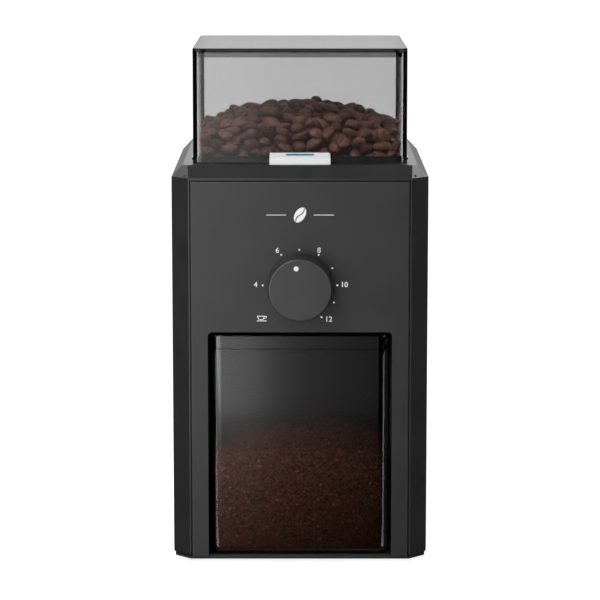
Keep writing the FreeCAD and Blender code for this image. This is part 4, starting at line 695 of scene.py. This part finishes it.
# Front reflector: brightness over x, and its factor over z.
REFLECTOR_X = [(-0.5, 3.0), (-0.2, 2.8), (-0.1, 1.4), (-0.055, 1.25), (0.0, 0.34), (0.05, 0.14), (0.12, 0.0)]
REFLECTOR_Z = [(-0.12, 0.02), (-0.057, 0.4), (-0.013, 1.3), (0.012, 2.3), (0.045, 2.3), (0.06, 1.0),
               (0.13, 1.1), (0.7, 1.2)]
REFLECTOR_Y, REFLECTOR_HALF = -0.5, 0.6


# Side strips: name, side, first and last angle from the front, bottom, top, strength.
STRIPS = [("strip_left", -1, 40, 56, 0.02, 0.6, 6.0), ("strip_right", 1, 44, 58, 0.02, 0.6, 4.0),
          ("low_strip_left", -1, 30, 56, -0.22, 0.0, 3.4), ("low_strip_right", 1, 34, 56, -0.22, 0.0, 2.6)]
STRIP_AWAY = 0.7
FACET_CARDS = [("facet_card_left", -1, 7.0), ("facet_card_right", 1, 18.0)]      # name, side, strength
FACET_CARD_HALF = 0.14


def studio():
    """White floor. It stays dark in reflections inside clear plastic, so it casts no veil there."""
    mat, tree, shader = new_material("floor_white")
    cloud = grain(tree, 1.5, 2.0)
    tone = ramp(tree, cloud.outputs["Fac"], (0.9, 0.9, 0.9), (0.93, 0.93, 0.93))
    shader.inputs["Roughness"].default_value = 0.9
    shader.inputs["Specular IOR Level"].default_value = 0.0
    shader.inputs["Emission Color"].default_value = (1, 1, 1, 1)
    path = add(tree, "ShaderNodeLightPath")
    direct = add(tree, "ShaderNodeMath", operation="LESS_THAN")
    direct.inputs[1].default_value = 0.5
    glow = add(tree, "ShaderNodeMath", operation="MULTIPLY")
    glow.inputs[1].default_value = FLOOR_GLOW
    tree.links.new(path.outputs["Glossy Depth"], direct.inputs[0])
    tree.links.new(direct.outputs["Value"], glow.inputs[0])
    tree.links.new(glow.outputs["Value"], shader.inputs["Emission Strength"])
    seen = add(tree, "ShaderNodeVectorMath", operation="SCALE")
    tree.links.new(tone.outputs["Color"], seen.inputs[0])
    tree.links.new(direct.outputs["Value"], seen.inputs["Scale"])
    tree.links.new(seen.outputs["Vector"], shader.inputs["Base Color"])
    mesh = bpy.data.meshes.new("floor")
    mesh.from_pydata([(-40, -40, 0), (40, -40, 0), (40, 40, 0), (-40, 40, 0)], [], [(0, 1, 2, 3)])
    mesh.materials.append(mat)
    obj = bpy.data.objects.new("floor", mesh)
    bpy.context.scene.collection.objects.link(obj)
    obj.visible_glossy = False


# Direction, sharpness and strength of each soft source in the surrounding white studio.
SOFT_SOURCES = [((0, 1, 0.58), 10.0, 2.2), ((0, 0, 1), 2.0, 0.06)]
AMBIENT = 0.03


def surroundings():
    world = bpy.data.worlds.new("studio")
    bpy.context.scene.world = world
    world.use_nodes = True
    tree = world.node_tree
    way = add(tree, "ShaderNodeTexCoord")
    total = add(tree, "ShaderNodeMath", operation="ADD")
    total.inputs[0].default_value = AMBIENT
    total.inputs[1].default_value = 0.0
    for direction, power, strength in SOFT_SOURCES:
        facing = add(tree, "ShaderNodeVectorMath", operation="DOT_PRODUCT")
        facing.inputs[1].default_value = Vector(direction).normalized()
        tree.links.new(way.outputs["Generated"], facing.inputs[0])
        front = add(tree, "ShaderNodeMath", operation="MAXIMUM")
        front.inputs[1].default_value = 0.0
        tree.links.new(facing.outputs["Value"], front.inputs[0])
        sharp = add(tree, "ShaderNodeMath", operation="POWER")
        sharp.inputs[1].default_value = power
        tree.links.new(front.outputs["Value"], sharp.inputs[0])
        scaled = add(tree, "ShaderNodeMath", operation="MULTIPLY_ADD")
        scaled.inputs[1].default_value = strength
        tree.links.new(sharp.outputs["Value"], scaled.inputs[0])
        tree.links.new(total.outputs["Value"], scaled.inputs[2])
        total = scaled
    tree.nodes["Background"].inputs["Color"].default_value = (1, 1, 1, 1)
    tree.links.new(total.outputs["Value"], tree.nodes["Background"].inputs["Strength"])


def soft_box(name, place, size, watts, target=(0, 0, 0.12)):
    lamp = bpy.data.lights.new(name, "AREA")
    lamp.shape = "SQUARE"
    lamp.size = size
    lamp.energy = watts
    obj = bpy.data.objects.new(name, lamp)
    bpy.context.scene.collection.objects.link(obj)
    obj.location = place
    obj.rotation_euler = (Vector(target) - Vector(place)).to_track_quat("-Z", "Y").to_euler()


def card(name, corners, mat):
    """A studio card that only reflections see."""
    mesh = bpy.data.meshes.new(name)
    mesh.from_pydata(corners, [], [(0, 1, 2, 3)])
    mesh.materials.append(mat)
    obj = bpy.data.objects.new(name, mesh)
    bpy.context.scene.collection.objects.link(obj)
    for kind in ("camera", "diffuse", "transmission", "volume_scatter", "shadow"):
        setattr(obj, "visible_" + kind, False)


def glowing(name, strength):
    """Plain light-giving material; returns it with its tree and its emission node."""
    mat, tree, shader = new_material(name)
    glow = add(tree, "ShaderNodeEmission", Strength=strength)
    tree.links.new(glow.outputs["Emission"], tree.nodes["Material Output"].inputs["Surface"])
    tree.nodes.remove(shader)
    return mat, tree, glow


def cards():
    """Cards at the sides draw bright lines along upright edges; cards above light the corner facets."""
    for name, side, first, last, low, high, strength in STRIPS:
        (ax, ay), (bx, by) = ((side * STRIP_AWAY * math.sin(a), -STRIP_AWAY * math.cos(a))
                              for a in map(math.radians, (first, last)))
        card(name, [(ax, ay, low), (bx, by, low), (bx, by, high), (ax, ay, high)], glowing(name, strength)[0])
    for name, side, strength in FACET_CARDS:
        centre = Vector((side * 0.54, 0.24, 0.76))
        across = Vector((0.3, side * 0.46, 0)).normalized()
        up = across.cross(centre - Vector((0, 0, 0.2))).normalized()
        corners = [centre + FACET_CARD_HALF * (a * across + b * up)
                   for a, b in ((-1, -1), (1, -1), (1, 1), (-1, 1))]
        card(name, corners, glowing(name, strength)[0])


def faded(tree, source, table):
    """Brightness read from a table of (position, value) pairs."""
    (first, _), (last, _) = table[0], table[-1]
    peak = max(value for _, value in table)
    along = add(tree, "ShaderNodeMapRange")
    along.inputs["From Min"].default_value = first
    along.inputs["From Max"].default_value = last
    curve = add(tree, "ShaderNodeFloatCurve")
    line = curve.mapping.curves[0]
    spots = [((at - first) / (last - first), value / peak) for at, value in table]
    line.points[0].location, line.points[-1].location = spots[0], spots[-1]
    for spot in spots[1:-1]:
        line.points.new(*spot)
    curve.mapping.update()
    gain = add(tree, "ShaderNodeMath", operation="MULTIPLY")
    gain.inputs[1].default_value = peak
    tree.links.new(source, along.inputs["Value"])
    tree.links.new(along.outputs["Result"], curve.inputs["Value"])
    tree.links.new(curve.outputs["Value"], gain.inputs[0])
    return gain.outputs["Value"]


def reflector():
    """A card in front: bright on the left, fading to nothing on the right."""
    mat, tree, glow = glowing("reflector_white", 1.0)
    place = add(tree, "ShaderNodeTexCoord")
    split = add(tree, "ShaderNodeSeparateXYZ")
    both = add(tree, "ShaderNodeMath", operation="MULTIPLY")
    tree.links.new(place.outputs["Object"], split.inputs[0])
    tree.links.new(faded(tree, split.outputs["X"], REFLECTOR_X), both.inputs[0])
    tree.links.new(faded(tree, split.outputs["Z"], REFLECTOR_Z), both.inputs[1])
    tree.links.new(both.outputs["Value"], glow.inputs["Strength"])
    low, high = REFLECTOR_Z[0][0], REFLECTOR_Z[-1][0]
    card("reflector", [(side * REFLECTOR_HALF, REFLECTOR_Y, z)
                       for side, z in ((-1, low), (1, low), (1, high), (-1, high))], mat)


def lights():
    soft_box("key_left", (-0.30, -0.50, 0.85), 0.3, 5.0)


LENS_MM = 161.9
CAMERA_PLACE = (0, -1.421, 0.3496)
CAMERA_DOWN = 8.975       # degrees below level


def camera():
    lens = bpy.data.cameras.new("camera")
    lens.lens = LENS_MM
    lens.sensor_width = 36.0
    lens.clip_start, lens.clip_end = 0.05, 100.0
    obj = bpy.data.objects.new("camera", lens)
    bpy.context.scene.collection.objects.link(obj)
    obj.location = CAMERA_PLACE
    obj.rotation_euler = (math.radians(90 - CAMERA_DOWN), 0, 0)
    bpy.context.scene.camera = obj


dress_cad_nodes()
make_beans()
make_grounds()
dose_scale()
bean_sign(0, 180.0)
studio()
surroundings()
cards()
reflector()
lights()
camera()
bpy.context.scene.view_settings.view_transform = "Standard"
